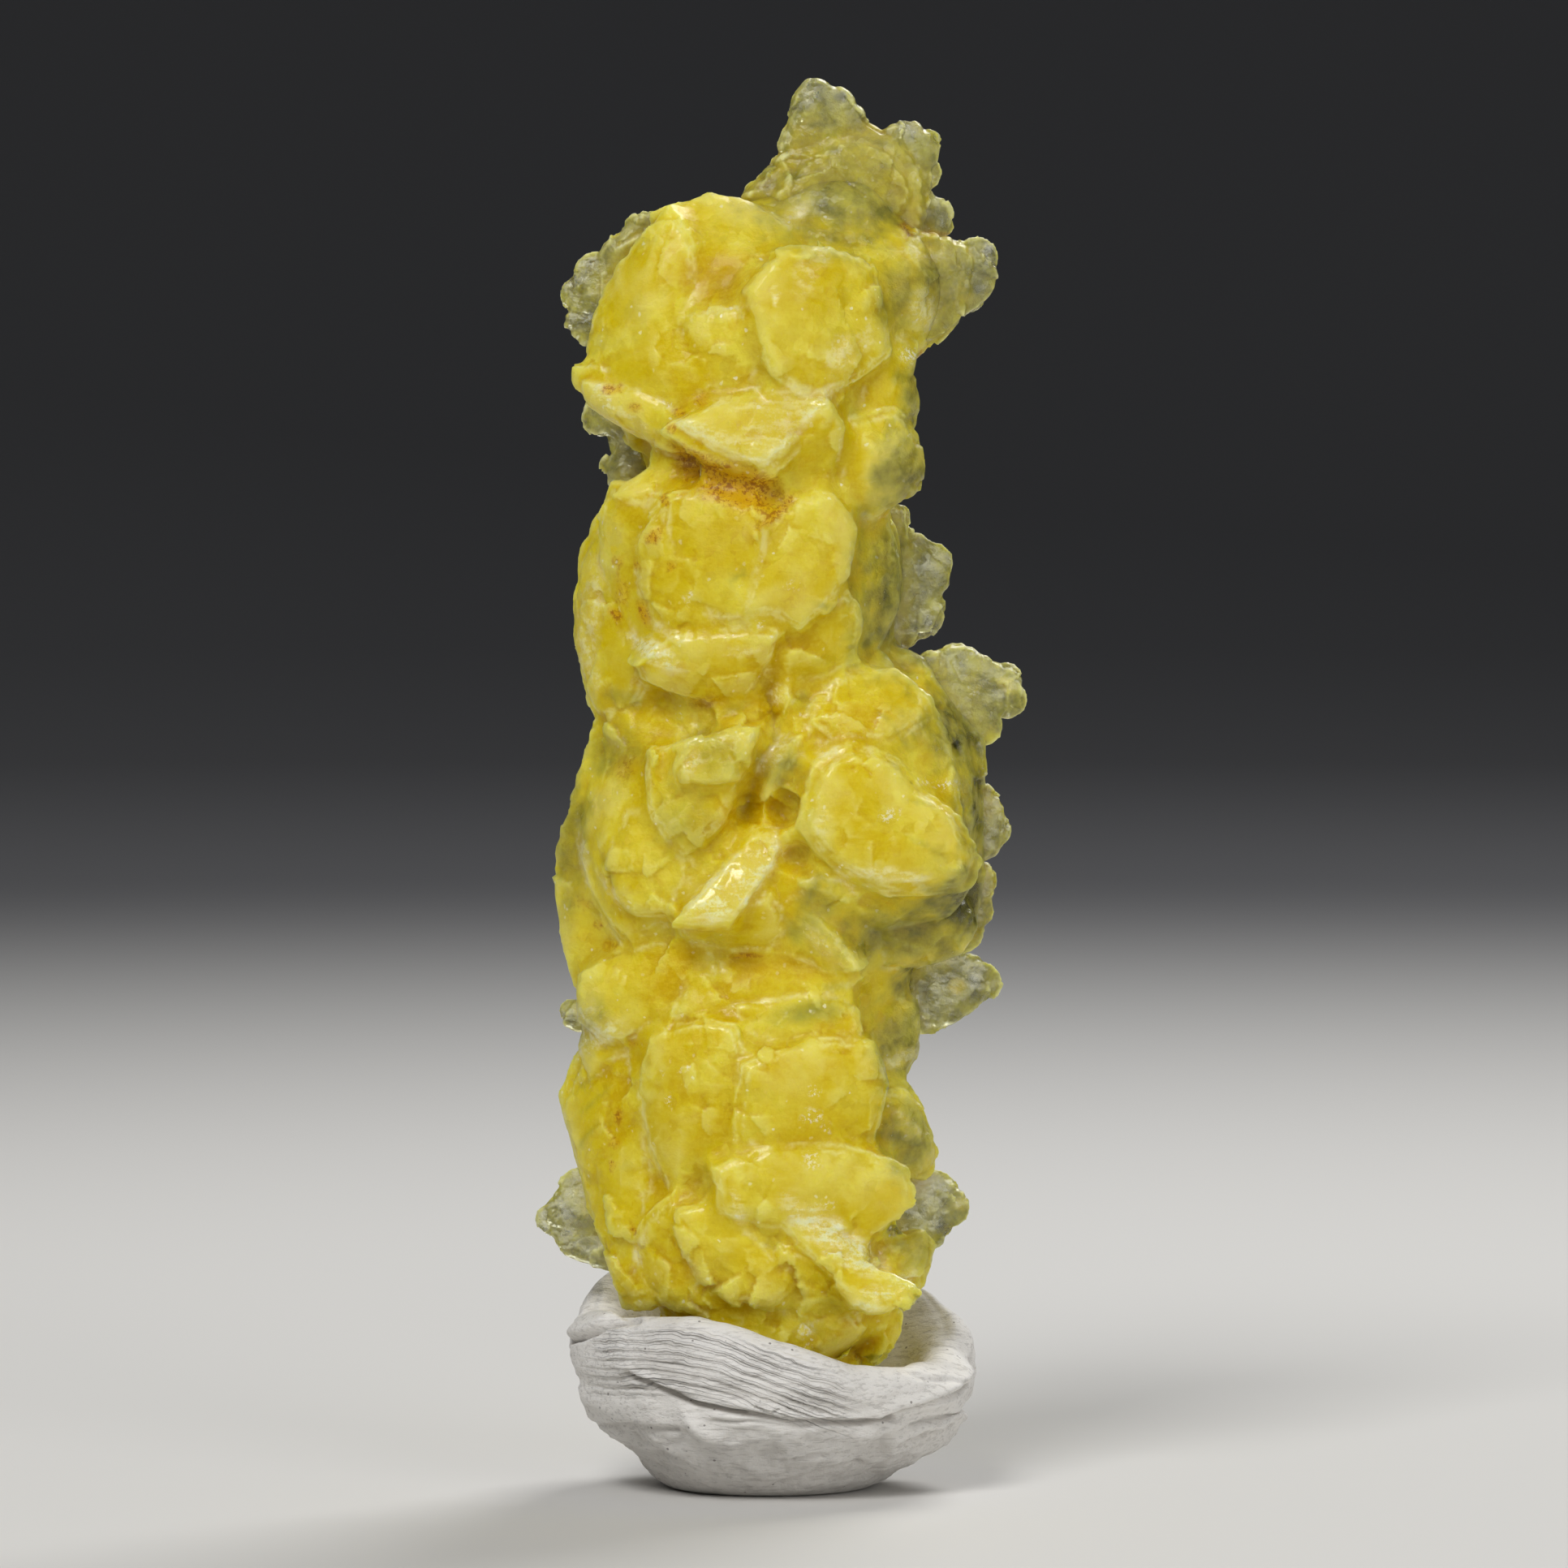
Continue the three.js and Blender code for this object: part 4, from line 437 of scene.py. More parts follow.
def smoothstep(low, high, values):
    """0 where a value is at low, 1 where it is at high, and smooth between."""
    t = np.clip((values - low) / (high - low), 0, 1)
    return t * t * (3 - 2 * t)


def vertex_arrays(obj):
    """Places in millimetres, and normals, of a mesh's vertices."""
    mesh = obj.data
    places = np.empty(len(mesh.vertices) * 3, np.float32)
    mesh.vertices.foreach_get("co", places)
    normals = np.empty(len(mesh.vertices) * 3, np.float32)
    mesh.vertices.foreach_get("normal", normals)
    return places.reshape(-1, 3).astype(float) / MM, normals.reshape(-1, 3).astype(float)


def place_vertices(obj, places):
    obj.data.vertices.foreach_set("co", (places * MM).astype(np.float32).ravel())
    obj.data.update()


def store(obj, name, values):
    attribute = obj.data.attributes.new(name, "FLOAT", "POINT")
    attribute.data.foreach_set("value", np.asarray(values, np.float32))


def in_oval(x, z, at_x, at_z, half_long, half_wide, lean):
    """How far points are from the middle of a leaning oval, 1 on its rim."""
    turn = math.radians(lean)
    along = ((x - at_x) * math.cos(turn) + (z - at_z) * math.sin(turn)) / half_long
    over = (-(x - at_x) * math.sin(turn) + (z - at_z) * math.cos(turn)) / half_wide
    return np.hypot(along, over)


# Plates and sheets


def axes_of(face):
    """The directions across, along and out of a face that is turned, tilted and rolled, in degrees."""
    turn, tilt, roll = (math.radians(angle) for angle in (*face, 0)[:3])
    out = Vector((math.sin(turn) * math.cos(tilt), -math.cos(turn) * math.cos(tilt), math.sin(tilt)))
    level = Vector((math.cos(turn), math.sin(turn), 0))
    upward = out.cross(level)
    across = level * math.cos(roll) - upward * math.sin(roll)
    along = upward * math.cos(roll) + level * math.sin(roll)
    return across, along, out


def smooth_ring(corners, spacing, softness):
    """A closed line through the corners as evenly spaced points, and its length; 0 is straight, 1 smooth."""
    places = np.linspace(0, 1, 24 * len(corners), endpoint=False)
    straight = np.asarray(corners, float).repeat(24, axis=0)
    straight += (places * len(corners) % 1)[:, None] * (np.roll(straight, -24, 0) - straight)
    dense = straight + softness * (curve_through(corners, places) - straight)
    steps = np.linalg.norm(np.roll(dense, -1, 0) - dense, axis=1)
    length = steps.sum()
    travelled = np.concatenate([[0], np.cumsum(steps)])
    closed = np.vstack([dense, dense[:1]])
    wanted = np.linspace(0, length, max(12, round(length / spacing)), endpoint=False)
    return np.stack([np.interp(wanted, travelled, closed[:, k]) for k in range(2)], 1), length


def scalloped(corners, depth, wave, chance, spacing=0.3, softness=1.0):
    """The rim with small rounded lobes between notches, at most depth inside the smooth curve."""
    points, length = smooth_ring(corners, spacing, softness)
    tangent = np.roll(points, -1, 0) - np.roll(points, 1, 0)
    tangent /= np.linalg.norm(tangent, axis=1)[:, None]
    inward = np.stack([-tangent[:, 1], tangent[:, 0]], 1)
    x, z = points.T
    if (x * np.roll(z, -1) - z * np.roll(x, -1)).sum() < 0:
        inward = -inward
    place = np.linspace(0, 1, len(points), endpoint=False)
    lobes = max(3, round(length / wave))
    waves = [(k, chance.uniform(0.3, 0.8), chance.random()) for k in (1, 2, 3, 5)]
    wander = sum(share / k * np.sin(2 * math.pi * (k * place + phase)) for k, share, phase in waves)
    notch = 1 - np.abs(np.sin(math.pi * (lobes * place + wander + chance.random())))
    amount = 0.6 + 0.4 * np.sin(2 * math.pi * (2 * place + chance.random()))
    return points + inward * (notch**1.5 * amount * depth)[:, None]


def slab(name, middle, out, spokes, rings):
    """A closed slab: the rim, as spokes from the middle, carried through rings of (share, height)."""
    circle = bpy.ops.mesh.primitive_circle_add
    obj = start_with(circle, name, vertices=len(spokes), radius=MM, fill_type="NGON")
    share, height = rings[0]
    for vertex, spoke in zip(obj.data.vertices, spokes):
        vertex.co = (middle + spoke * share + out * height) * MM
    edit_all()
    for next_share, next_height in rings[1:]:
        step = out * (next_height - height) * MM
        bpy.ops.mesh.extrude_region_move(TRANSFORM_OT_translate={"value": step})
        grow = next_share / share
        bpy.ops.transform.resize(value=(grow,) * 3, center_override=(middle + out * next_height) * MM)
        share, height = next_share, next_height
    face_outwards()
    return obj


EDGE_RING = 4


def plate_rings(thick, dome, root):
    """A plate's rings, from its root in the stone to its domed face; EDGE_RING is its upper edge."""
    return [
        (0.3, -root), (0.72, -0.62 * root - 0.3 * thick), (1.0, -thick), (1.0, -0.1), (0.99, 0.0),
        (0.92, 0.04 + 0.06 * dome), (0.78, 0.05 + 0.28 * dome), (0.55, 0.05 + 0.5 * dome),
        (0.2, 0.05 + 0.66 * dome),
    ]


def in_plane(points, middle_xz, out):
    """Spokes in a face's plane for points that are seen from the front."""
    offsets = points - np.array(middle_xz)
    return [Vector((dx, -(dx * out.x + dz * out.z) / out.y, dz)) for dx, dz in offsets]


def middle_of(rim, depth):
    """The middle of a rim that is seen from the front: in its picture, and in space."""
    middle_xz = np.mean(np.array(rim), 0)
    return middle_xz, Vector((middle_xz[0], depth, middle_xz[1]))


def front_plate(name, face, depth, thick, dome, root, layers, rim):
    """A plate drawn by its rim, with thinner layers that show one under the other along its edge."""
    chance = random.Random(name)
    out = axes_of(face)[2]
    middle_xz, middle = middle_of(rim, depth)
    pieces = []
    for layer in range(layers + 1):
        wave = chance.uniform(0.9, 2.0)
        points = scalloped(rim, 0.18, wave, chance, spacing=0.2, softness=0.25)
        spokes = in_plane(points, middle_xz, out)
        radius = sum(spoke.length for spoke in spokes) / len(spokes)
        spread = 1 + LAYER_SPREAD * layer / radius
        slip = Vector((chance.uniform(-0.16, 0.16), 0, chance.uniform(-0.16, 0.16))) * layer
        spokes = [spoke * spread for spoke in spokes]
        drop = -LAYER_STEP * layer
        rings = plate_rings(max(THINNEST_LAYER, thick + drop), dome, root + drop)
        pieces.append(slab(name, middle + slip + out * drop, out, spokes, rings))
    return pieces


def plates_behind(core):
    """Uneven plates all over the back, each a little proud of its neighbours, none past the outline."""
    chance = random.Random("plates behind")
    faces = [face for face in core.data.polygons if face.normal.y > 0.4]
    plates = []
    everywhere = vertex_arrays(core)[0]
    for index in range(BACK_PLATES):
        face = chance.choice(faces)
        size = chance.uniform(*BACK_PLATE_SIZES)
        out = face.normal
        at = face.center / MM + out * chance.uniform(-0.1, 0.12)
        level = everywhere[np.abs(everywhere[:, 2] - at.z) < size, 0]
        if not level.min() + 1.2 * size < at.x < level.max() - 1.2 * size:
            continue
        turn = math.degrees(math.atan2(out.x, -out.y)) + chance.gauss(0, 5)
        tilt = math.degrees(math.asin(out.z)) + chance.gauss(2, 7)
        half = (size, size * chance.uniform(0.9, 1.4))
        face_angles = (turn, tilt, chance.uniform(-90, 90))
        plates += oval_plate(f"plate_behind_{index}", at, face_angles, half, 0.9, 0.1, 1.2)
    return plates


def rims_of(plates):
    """The upper edges of the plates, as a tree of points to measure from."""
    edges = []
    for plate in plates:
        places = vertex_arrays(plate)[0]
        count = len(places) // len(plate_rings(1, 1, 1))
        edges += places[EDGE_RING * count:(EDGE_RING + 1) * count].tolist()
    tree = KDTree(len(edges))
    for index, place in enumerate(edges):
        tree.insert(place, index)
    tree.balance()
    return tree


def uneven_oval(half, chance, count=8, least=0.86):
    """Corners round an oval, at uneven angles and at least that share of its size from the middle."""
    corners = []
    for i in range(count):
        angle = (i + chance.uniform(-0.3, 0.3)) / count * 2 * math.pi
        share = chance.uniform(least, 1.1)
        corners.append((math.cos(angle) * half[0] * share, math.sin(angle) * half[1] * share))
    return corners


def oval_plate(name, at, face, half, thick, dome, root):
    """A plate on the side or the back, as an uneven oval with two layers under it."""
    chance = random.Random(name)
    across, along, out = axes_of(face)
    corners = uneven_oval(half, chance)
    pieces = []
    for layer in range(3):
        points = scalloped(corners, 0.24, chance.uniform(0.9, 2.0), chance, softness=0.25)
        spread = 1 + 0.1 * layer
        spokes = [(across * u + along * v) * spread for u, v in points]
        middle = Vector(at) - out * LAYER_STEP * layer
        rings = plate_rings(max(THINNEST_LAYER, thick - 0.4 * layer), dome, root)
        pieces.append(slab(name, middle, out, spokes, rings))
    return pieces


def lobe_mould():
    """One small rounded lobe, a flattened ball that every knob of the sheets is copied from."""
    obj = start_with(bpy.ops.mesh.primitive_ico_sphere_add, "lobe_mould", subdivisions=2, radius=MM)
    edit_all()
    bpy.ops.transform.resize(value=(1, 0.62, 1))
    bpy.ops.object.mode_set(mode="OBJECT")
    return obj


def front_sheet(name, face, depth, thick, rim, mould):
    """A sheet that is drawn as seen from the front."""
    chance = random.Random(name)
    middle_xz, middle = middle_of(rim, depth)
    wave = chance.uniform(0.8, 1.5)
    points = scalloped(rim, 0.26, wave, chance, spacing=SHEET_SPACING, softness=0.7)
    spokes = in_plane(points, middle_xz, axes_of(face)[2])
    return knobbly_sheet(name, face, middle, thick, spokes, mould, chance)


def side_sheet(name, at, face, half, thick, mould):
    """A sheet of the sides or the back, as an uneven oval."""
    chance = random.Random(name)
    across, along, _ = axes_of(face)
    corners = uneven_oval(half, chance)
    points = scalloped(corners, 0.26, chance.uniform(0.8, 1.5), chance, spacing=SHEET_SPACING)
    spokes = [across * u + along * v for u, v in points]
    return knobbly_sheet(name, face, Vector(at), thick, spokes, mould, chance)


def knobbly_sheet(name, face, middle, thick, spokes, mould, chance):
    """A thin free sheet that is overgrown with rounded lobes, all inside its rim and thickness."""
    across, along, out = axes_of(face)
    film = 0.3 * thick
    half_rings = [(0.6, 1.4), (0.93, 1.0), (1.0, 0.3)]
    rings = [(share, -film * height) for share, height in half_rings]
    rings += [(share, film * height) for share, height in reversed(half_rings)]
    pieces = [slab(name, middle, out, spokes, rings)]

    def lobe(place, size):
        flat = min(chance.uniform(0.3, 0.55), 0.34 * thick / size)
        lean = Matrix.Rotation(chance.uniform(-0.35, 0.35), 3, across)
        lean = lean @ Matrix.Rotation(chance.uniform(-0.35, 0.35), 3, along)
        turned = Matrix((across, -out, along)).transposed()
        shape = Matrix.Diagonal((size * chance.uniform(0.85, 1.2), size * flat, size))
        matrix = (lean @ turned @ shape).to_4x4()
        matrix.translation = place * MM
        pieces.append(copy_of(mould, matrix))

    station = 0
    while station < len(spokes):
        size = chance.uniform(0.35, 1.1)
        reach = 1 - size * 0.96 / spokes[station].length
        lobe(middle + spokes[station] * reach + out * chance.uniform(-0.12, 0.12) * thick, size)
        station += max(1, round(size * chance.uniform(0.9, 2.2) / SHEET_SPACING))
    area = math.pi * sum(spoke.length_squared for spoke in spokes) / len(spokes)
    for _ in range(round(area / SHEET_LOBE_AREA)):
        spoke = chance.choice(spokes)
        reach = 0.8 * math.sqrt(chance.random())
        size = chance.uniform(0.5, 1.6)
        lobe(middle + spoke * reach + out * chance.uniform(-0.16, 0.16) * thick, size)
    return pieces


def lump(name, at, half):
    """A rounded lump."""
    obj = start_with(bpy.ops.mesh.primitive_uv_sphere_add, name, segments=40, ring_count=24, radius=MM)
    edit_all()
    bpy.ops.transform.resize(value=half)
    bpy.ops.transform.translate(value=Vector(at) * MM)
    bpy.ops.object.mode_set(mode="OBJECT")
    return obj


def scale_mould(index):
    """A thin uneven scale, a millimetre in radius, that the small growth steps are copied from."""
    chance = random.Random(f"scale {index}")
    corners = uneven_oval((1, 1), chance, count=7, least=0.7)
    points = scalloped(corners, 0.1, 0.6, chance, spacing=0.16)
    spokes = [Vector((u, 0, v)) for u, v in points]
    rings = [(0.6, -0.4), (0.96, -0.3), (1.0, -0.02), (0.97, 0.0), (0.75, 0.03), (0.3, 0.04)]
    return slab(f"scale_mould_{index}", Vector((0, 0, 0)), Vector((0, -1, 0)), spokes, rings)


def scales_on(core, moulds):
    """Thin scales that lie almost flush in the core, like shingles, each a little raised on one side."""
    chance = random.Random("scales")
    mesh = core.data
    areas = np.empty(len(mesh.polygons))
    mesh.polygons.foreach_get("area", areas)
    order = np.cumsum(areas)
    pieces = []
    for _ in range(round(order[-1] / MM**2 * SCALES_PER_MM2)):
        face = mesh.polygons[int(np.searchsorted(order, chance.random() * order[-1]))]
        size = chance.uniform(0.4, 1.15)
        lean = Vector((chance.gauss(0, 1), chance.gauss(0, 1), chance.gauss(0, 1))) * 0.06 / size
        out = (face.normal + lean).normalized()
        across = out.orthogonal().normalized()
        across.rotate(Matrix.Rotation(chance.uniform(0, 2 * math.pi), 3, out))
        along = out.cross(across)
        turned = Matrix((across * size, -out * 0.8, along * size * 1.3)).transposed()
        matrix = turned.to_4x4()
        matrix.translation = face.center + out * chance.uniform(-0.06, 0.06) * MM
        pieces.append(copy_of(chance.choice(moulds), matrix))
    return pieces


def tilted_cells(places, size):
    """Heights of flat faces of that size that fill all space, each tilted its own way."""
    heights = np.empty(len(places))
    for i, place in enumerate((places / size).tolist()):
        middle = noise.voronoi(place)[1][0]
        heights[i] = (Vector(place) - middle).dot(noise.noise_vector(middle * 9.7))
    return heights


def facet(obj, size, tilt):
    """Cuts the surface into small crystal faces of that size, patchily and more so at the foot."""
    places, normals = vertex_arrays(obj)
    strength = smoothstep(-0.35, 0.25, soft_noise(places, 4.5, 7.0))
    strength += smoothstep(*FACETED_FOOT, places[:, 2])
    place_vertices(obj, places + normals * (tilted_cells(places, size) * strength * tilt * size)[:, None])


def brucite_core(plates):
    """The lumps and the feet of the plates, with the crevices between them filled."""
    core = join([lump(*row) for row in LUMPS] + [copy_of(plate) for plate in plates], "brucite_core")
    remesh(core, CORE_VOXEL)
    modify(core, "DISPLACE", strength=CREVICE_FILL * MM, mid_level=0)
    remesh(core, CORE_VOXEL)
    modify(core, "DISPLACE", strength=-(CREVICE_FILL + PLATE_RISE) * MM, mid_level=0)
    modify(core, "SMOOTH", factor=0.5, iterations=6)
    swell(core, 3.0, 0.3)
    return core


# Hollows of the brucite's front: x, z, half length, half width, lean in degrees, depth
HOLLOWS = [
    (5.6, 8.8, 1.3, 0.8, 40, 2.2),
    (3.6, 8.4, 1.4, 0.5, 10, 0.8),
    (0.2, 48.4, 2.2, 0.8, 96, 1.2),
    (-1.2, 43.2, 2.8, 0.8, 72, 1.0),
    (-2.6, 74.4, 2.2, 1.5, -10, 0.5),
    (-1.0, 32.9, 4.0, 0.9, -6, 0.35),
    (-2.0, 62.3, 2.8, 0.9, -14, 0.6),
]


def hollow_out(obj):
    """Presses the hollows into the front."""
    places, normals = vertex_arrays(obj)
    x, _, z = places.T
    facing = smoothstep(0.3, -0.2, normals[:, 1])
    for *oval, depth in HOLLOWS:
        places[:, 1] += depth * facing * np.exp(-in_oval(x, z, *oval) ** 2)
    place_vertices(obj, places)


def thin_out(obj):
    """Fewer triangles, taken from the back more than from the front."""
    mesh = obj.data
    facing = np.empty(len(mesh.polygons) * 3, np.float32)
    mesh.polygons.foreach_get("normal", facing)
    behind = facing[1::3] > 0.3
    back, front = 2 * behind.sum(), 2 * (~behind).sum()
    if back + front <= MOST_TRIANGLES:
        return
    back_share = BACK_SHARE * MOST_TRIANGLES / (back + front)
    front_share = (MOST_TRIANGLES - back_share * back) / front
    mesh.polygons.foreach_set("select", behind)
    pick_only(obj)
    bpy.ops.object.mode_set(mode="EDIT")
    bpy.ops.mesh.select_mode(type="FACE")
    bpy.ops.mesh.decimate(ratio=float(back_share))
    bpy.ops.mesh.select_all(action="INVERT")
    bpy.ops.mesh.decimate(ratio=float(front_share))
    bpy.ops.object.mode_set(mode="OBJECT")


def finish_form(obj, voxel):
    """One skin over everything, softened, then given its growth texture."""
    remesh(obj, voxel)
    modify(obj, "SMOOTH", factor=0.5, iterations=2)
    swell(obj, 2.4, 0.1, name="undulation")
    swell(obj, 0.8, 0.04, name="grain")
    for size, tilt in FACETS:
        facet(obj, size, tilt)


def brucite_pieces():
    """The body, and the clear sheets of the upper and the lower half."""
    plates = []
    for row in PLATES:
        plates += front_plate(*row)
    for row in OVALS:
        plates += oval_plate(*row)
    scale_forms = [scale_mould(index) for index in range(SCALE_FORMS)]
    core = brucite_core(plates)
    plates += plates_behind(core)
    rims = rims_of(plates)
    body = join([core, *plates, *scales_on(core, scale_forms)], "brucite_body")
    finish_form(body, BODY_VOXEL)
    hollow_out(body)
    lobe_form = lobe_mould()
    sheets = {"clear_sheets_upper": [], "clear_sheets_lower": []}
    for row in SHEETS:
        half = "upper" if row[-1][0][1] > UPPER_SHEETS_ABOVE else "lower"
        sheets[f"clear_sheets_{half}"] += front_sheet(*row, lobe_form)
    for row in SIDE_SHEETS:
        half = "upper" if row[1][2] > UPPER_SHEETS_ABOVE else "lower"
        sheets[f"clear_sheets_{half}"] += side_sheet(*row, lobe_form)
    pieces = [body]
    for name, parts in sheets.items():
        pieces.append(join(parts, name))
        finish_form(pieces[-1], SHEET_VOXEL)
    for piece in pieces:
        thin_out(piece)
    # Near a plate's rim: a line painted pale as highlight, and more coat
    places = vertex_arrays(body)[0]
    distance = np.array([rims.find(place)[2] for place in places.tolist()])
    store(body, "rim", smoothstep(*RIM_LINE, distance))
    for form in (lobe_form, *scale_forms):
        bpy.data.objects.remove(form)
    return pieces


# The putty

PUTTY_COLUMNS = 52
PUTTY_FOOT = 6.1
PUTTY_HALF = (12.7, 11.55)
# The rim's height, from the right (+X) round by the back
RIM_HEIGHTS = [8.8, 12.0, 12.5, 12.3, 12.4, 12.5, 10.8, 11.0, 11.6, 10.4, 8.5, 8.2]
CREASE_HEIGHT = 5.8  # of the waist under the rolled rim, which leans down to the right
CREASE_LEAN = 0.9
RIDGE_PITCH = 0.56  # between the stretch ridges


def putty_section(angle):
    """The putty's cut at an angle, as shares of its half width and heights, from under it to its floor."""
    rim = float(curve_through(RIM_HEIGHTS, np.array([angle / (2 * math.pi)]))[0])
    crease = CREASE_HEIGHT - CREASE_LEAN * math.cos(angle)
    upper = rim - crease
    foot = PUTTY_FOOT / PUTTY_HALF[0]
    return [
        (0.5 * foot, 0.0), (0.96 * foot, 0.0), (1.04 * foot, 0.08),
        (0.57, 0.1 * crease), (0.68, 0.29 * crease), (0.79, 0.5 * crease), (0.88, 0.7 * crease),
        (0.94, 0.88 * crease), (0.945 - 0.035 * max(0, math.cos(angle)), crease),
        (0.955, crease + 0.1 * upper), (0.99, crease + 0.28 * upper),
        (1.0, crease + 0.5 * upper), (0.985, crease + 0.72 * upper), (0.945, crease + 0.9 * upper),
        (0.89, crease + 0.99 * upper), (0.83, crease + 0.98 * upper), (0.76, crease + 0.88 * upper),
        (0.68, 0.78 * rim), (0.6, 0.68 * rim), (0.5, 0.58 * rim), (0.34, 0.4 * rim), (0.16, 3.0),
    ]


def putty_bowl():
    """A bowl whose rings are carried up from the foot, over the rim and down inside."""
    rows = len(putty_section(0))
    circle = bpy.ops.mesh.primitive_circle_add
    obj = start_with(circle, "putty_lump", vertices=PUTTY_COLUMNS, radius=1, fill_type="NGON")
    obj.data.name = "putty_lump"
    edit_all()
    for _ in range(rows - 1):
        bpy.ops.mesh.extrude_region_move(TRANSFORM_OT_translate={"value": (0, 0, 1)})
    face_outwards()
    for vertex in obj.data.vertices:
        row = round(vertex.co.z)
        angle = math.atan2(vertex.co.y, vertex.co.x)
        share, height = putty_section(angle)[row]
        if 2 < row < rows - 4:
            share *= 1 + 0.018 * math.sin(3 * angle + 1) + 0.01 * math.sin(8 * angle)
        across = (math.cos(angle) * PUTTY_HALF[0], math.sin(angle) * PUTTY_HALF[1])
        vertex.co = Vector((across[0] * share, across[1] * share, height)) * MM
    modify(obj, "SUBSURF", levels=3, render_levels=3)
    return obj


# Folds of the putty's front: a line of [x, z], its depth and its width
FOLDS = [
    ([(-8.6, 7.9), (-6.4, 7.0), (-4.15, 6.3), (-0.6, 5.7), (1.6, 5.35), (4.15, 5.1), (7.4, 5.2)], 0.55, 0.2),
    ([(-7.4, 7.3), (-5.9, 6.7), (-3.9, 6.1), (-1.4, 5.75)], 0.4, 0.1),
    ([(7.0, 5.3), (9.4, 5.8), (11.4, 6.4), (12.8, 6.9)], 0.6, 0.22),
    ([(-12.2, 4.3), (-10.6, 4.1), (-8.2, 4.6), (-5.6, 4.5)], 0.3, 0.2),
    ([(-3.4, 5.2), (-1.2, 5.3), (2.5, 4.95), (6.2, 5.1)], 0.2, 0.14),
    ([(0.8, 2.6), (2.6, 3.0), (4.8, 3.15)], 0.24, 0.12),
    ([(-0.3, 0.5), (1.0, 1.1), (4.2, 2.0), (5.4, 2.1)], 0.4, 0.26),
    ([(8.0, 3.2), (10.2, 3.9), (12.4, 4.3)], 0.4, 0.24),
    ([(8.8, 4.6), (10.6, 4.9), (12.4, 5.2)], 0.24, 0.12),
    ([(-10.2, 3.2), (-8.0, 2.6), (-5.4, 2.7)], 0.16, 0.2),
    ([(-12.6, 9.1), (-11.4, 9.6), (-9.6, 10.6), (-8.0, 11.2)], 0.75, 0.16),
    ([(5.6, 0.9), (7.4, 2.3), (9.4, 3.1)], 0.2, 0.2),
    ([(-9.8, 2.0), (-8.2, 1.3), (-6.4, 0.9)], 0.16, 0.2),
    ([(0.9, 9.0), (0.6, 8.6), (0.75, 8.2)], 0.2, 0.08),
    ([(-0.8, 6.3), (0.2, 5.9), (0.6, 6.2)], 0.2, 0.09),
    ([(7.8, 8.2), (9.8, 7.4), (11.8, 6.9)], 0.14, 0.14),
]
# Raised places of the putty's front: x, z, half length, half width, lean in degrees, height
RAISED = [
    (-4.4, 4.9, 0.95, 0.42, -38, 0.55),
    (-3.6, 4.3, 0.9, 0.4, -20, 0.35),
    (-9.6, 5.4, 2.2, 0.6, -10, 0.2),
    (11.6, 4.9, 0.8, 0.5, 20, 0.5),
    (12.2, 7.4, 0.9, 0.6, 60, 0.4),
    (10.4, 6.1, 1.6, 0.4, 14, 0.25),
    (1.0, 6.0, 3.2, 0.36, -8, 0.2),
    (-10.6, 10.6, 1.8, 0.7, 26, 0.4),
]


def along_line(x, z, line):
    """Distance to a line of straight stretches, and which side of it each point is on."""
    best = np.full(len(x), 1e9)
    side = np.zeros(len(x))
    for (ax, az), (bx, bz) in zip(line, line[1:]):
        dx, dz = bx - ax, bz - az
        t = np.clip(((x - ax) * dx + (z - az) * dz) / (dx * dx + dz * dz), 0, 1)
        gap = np.hypot(x - ax - t * dx, z - az - t * dz)
        nearer = gap < best
        side = np.where(nearer, np.sign((z - az) * dx - (x - ax) * dz), side)
        best = np.where(nearer, gap, best)
    return best, side


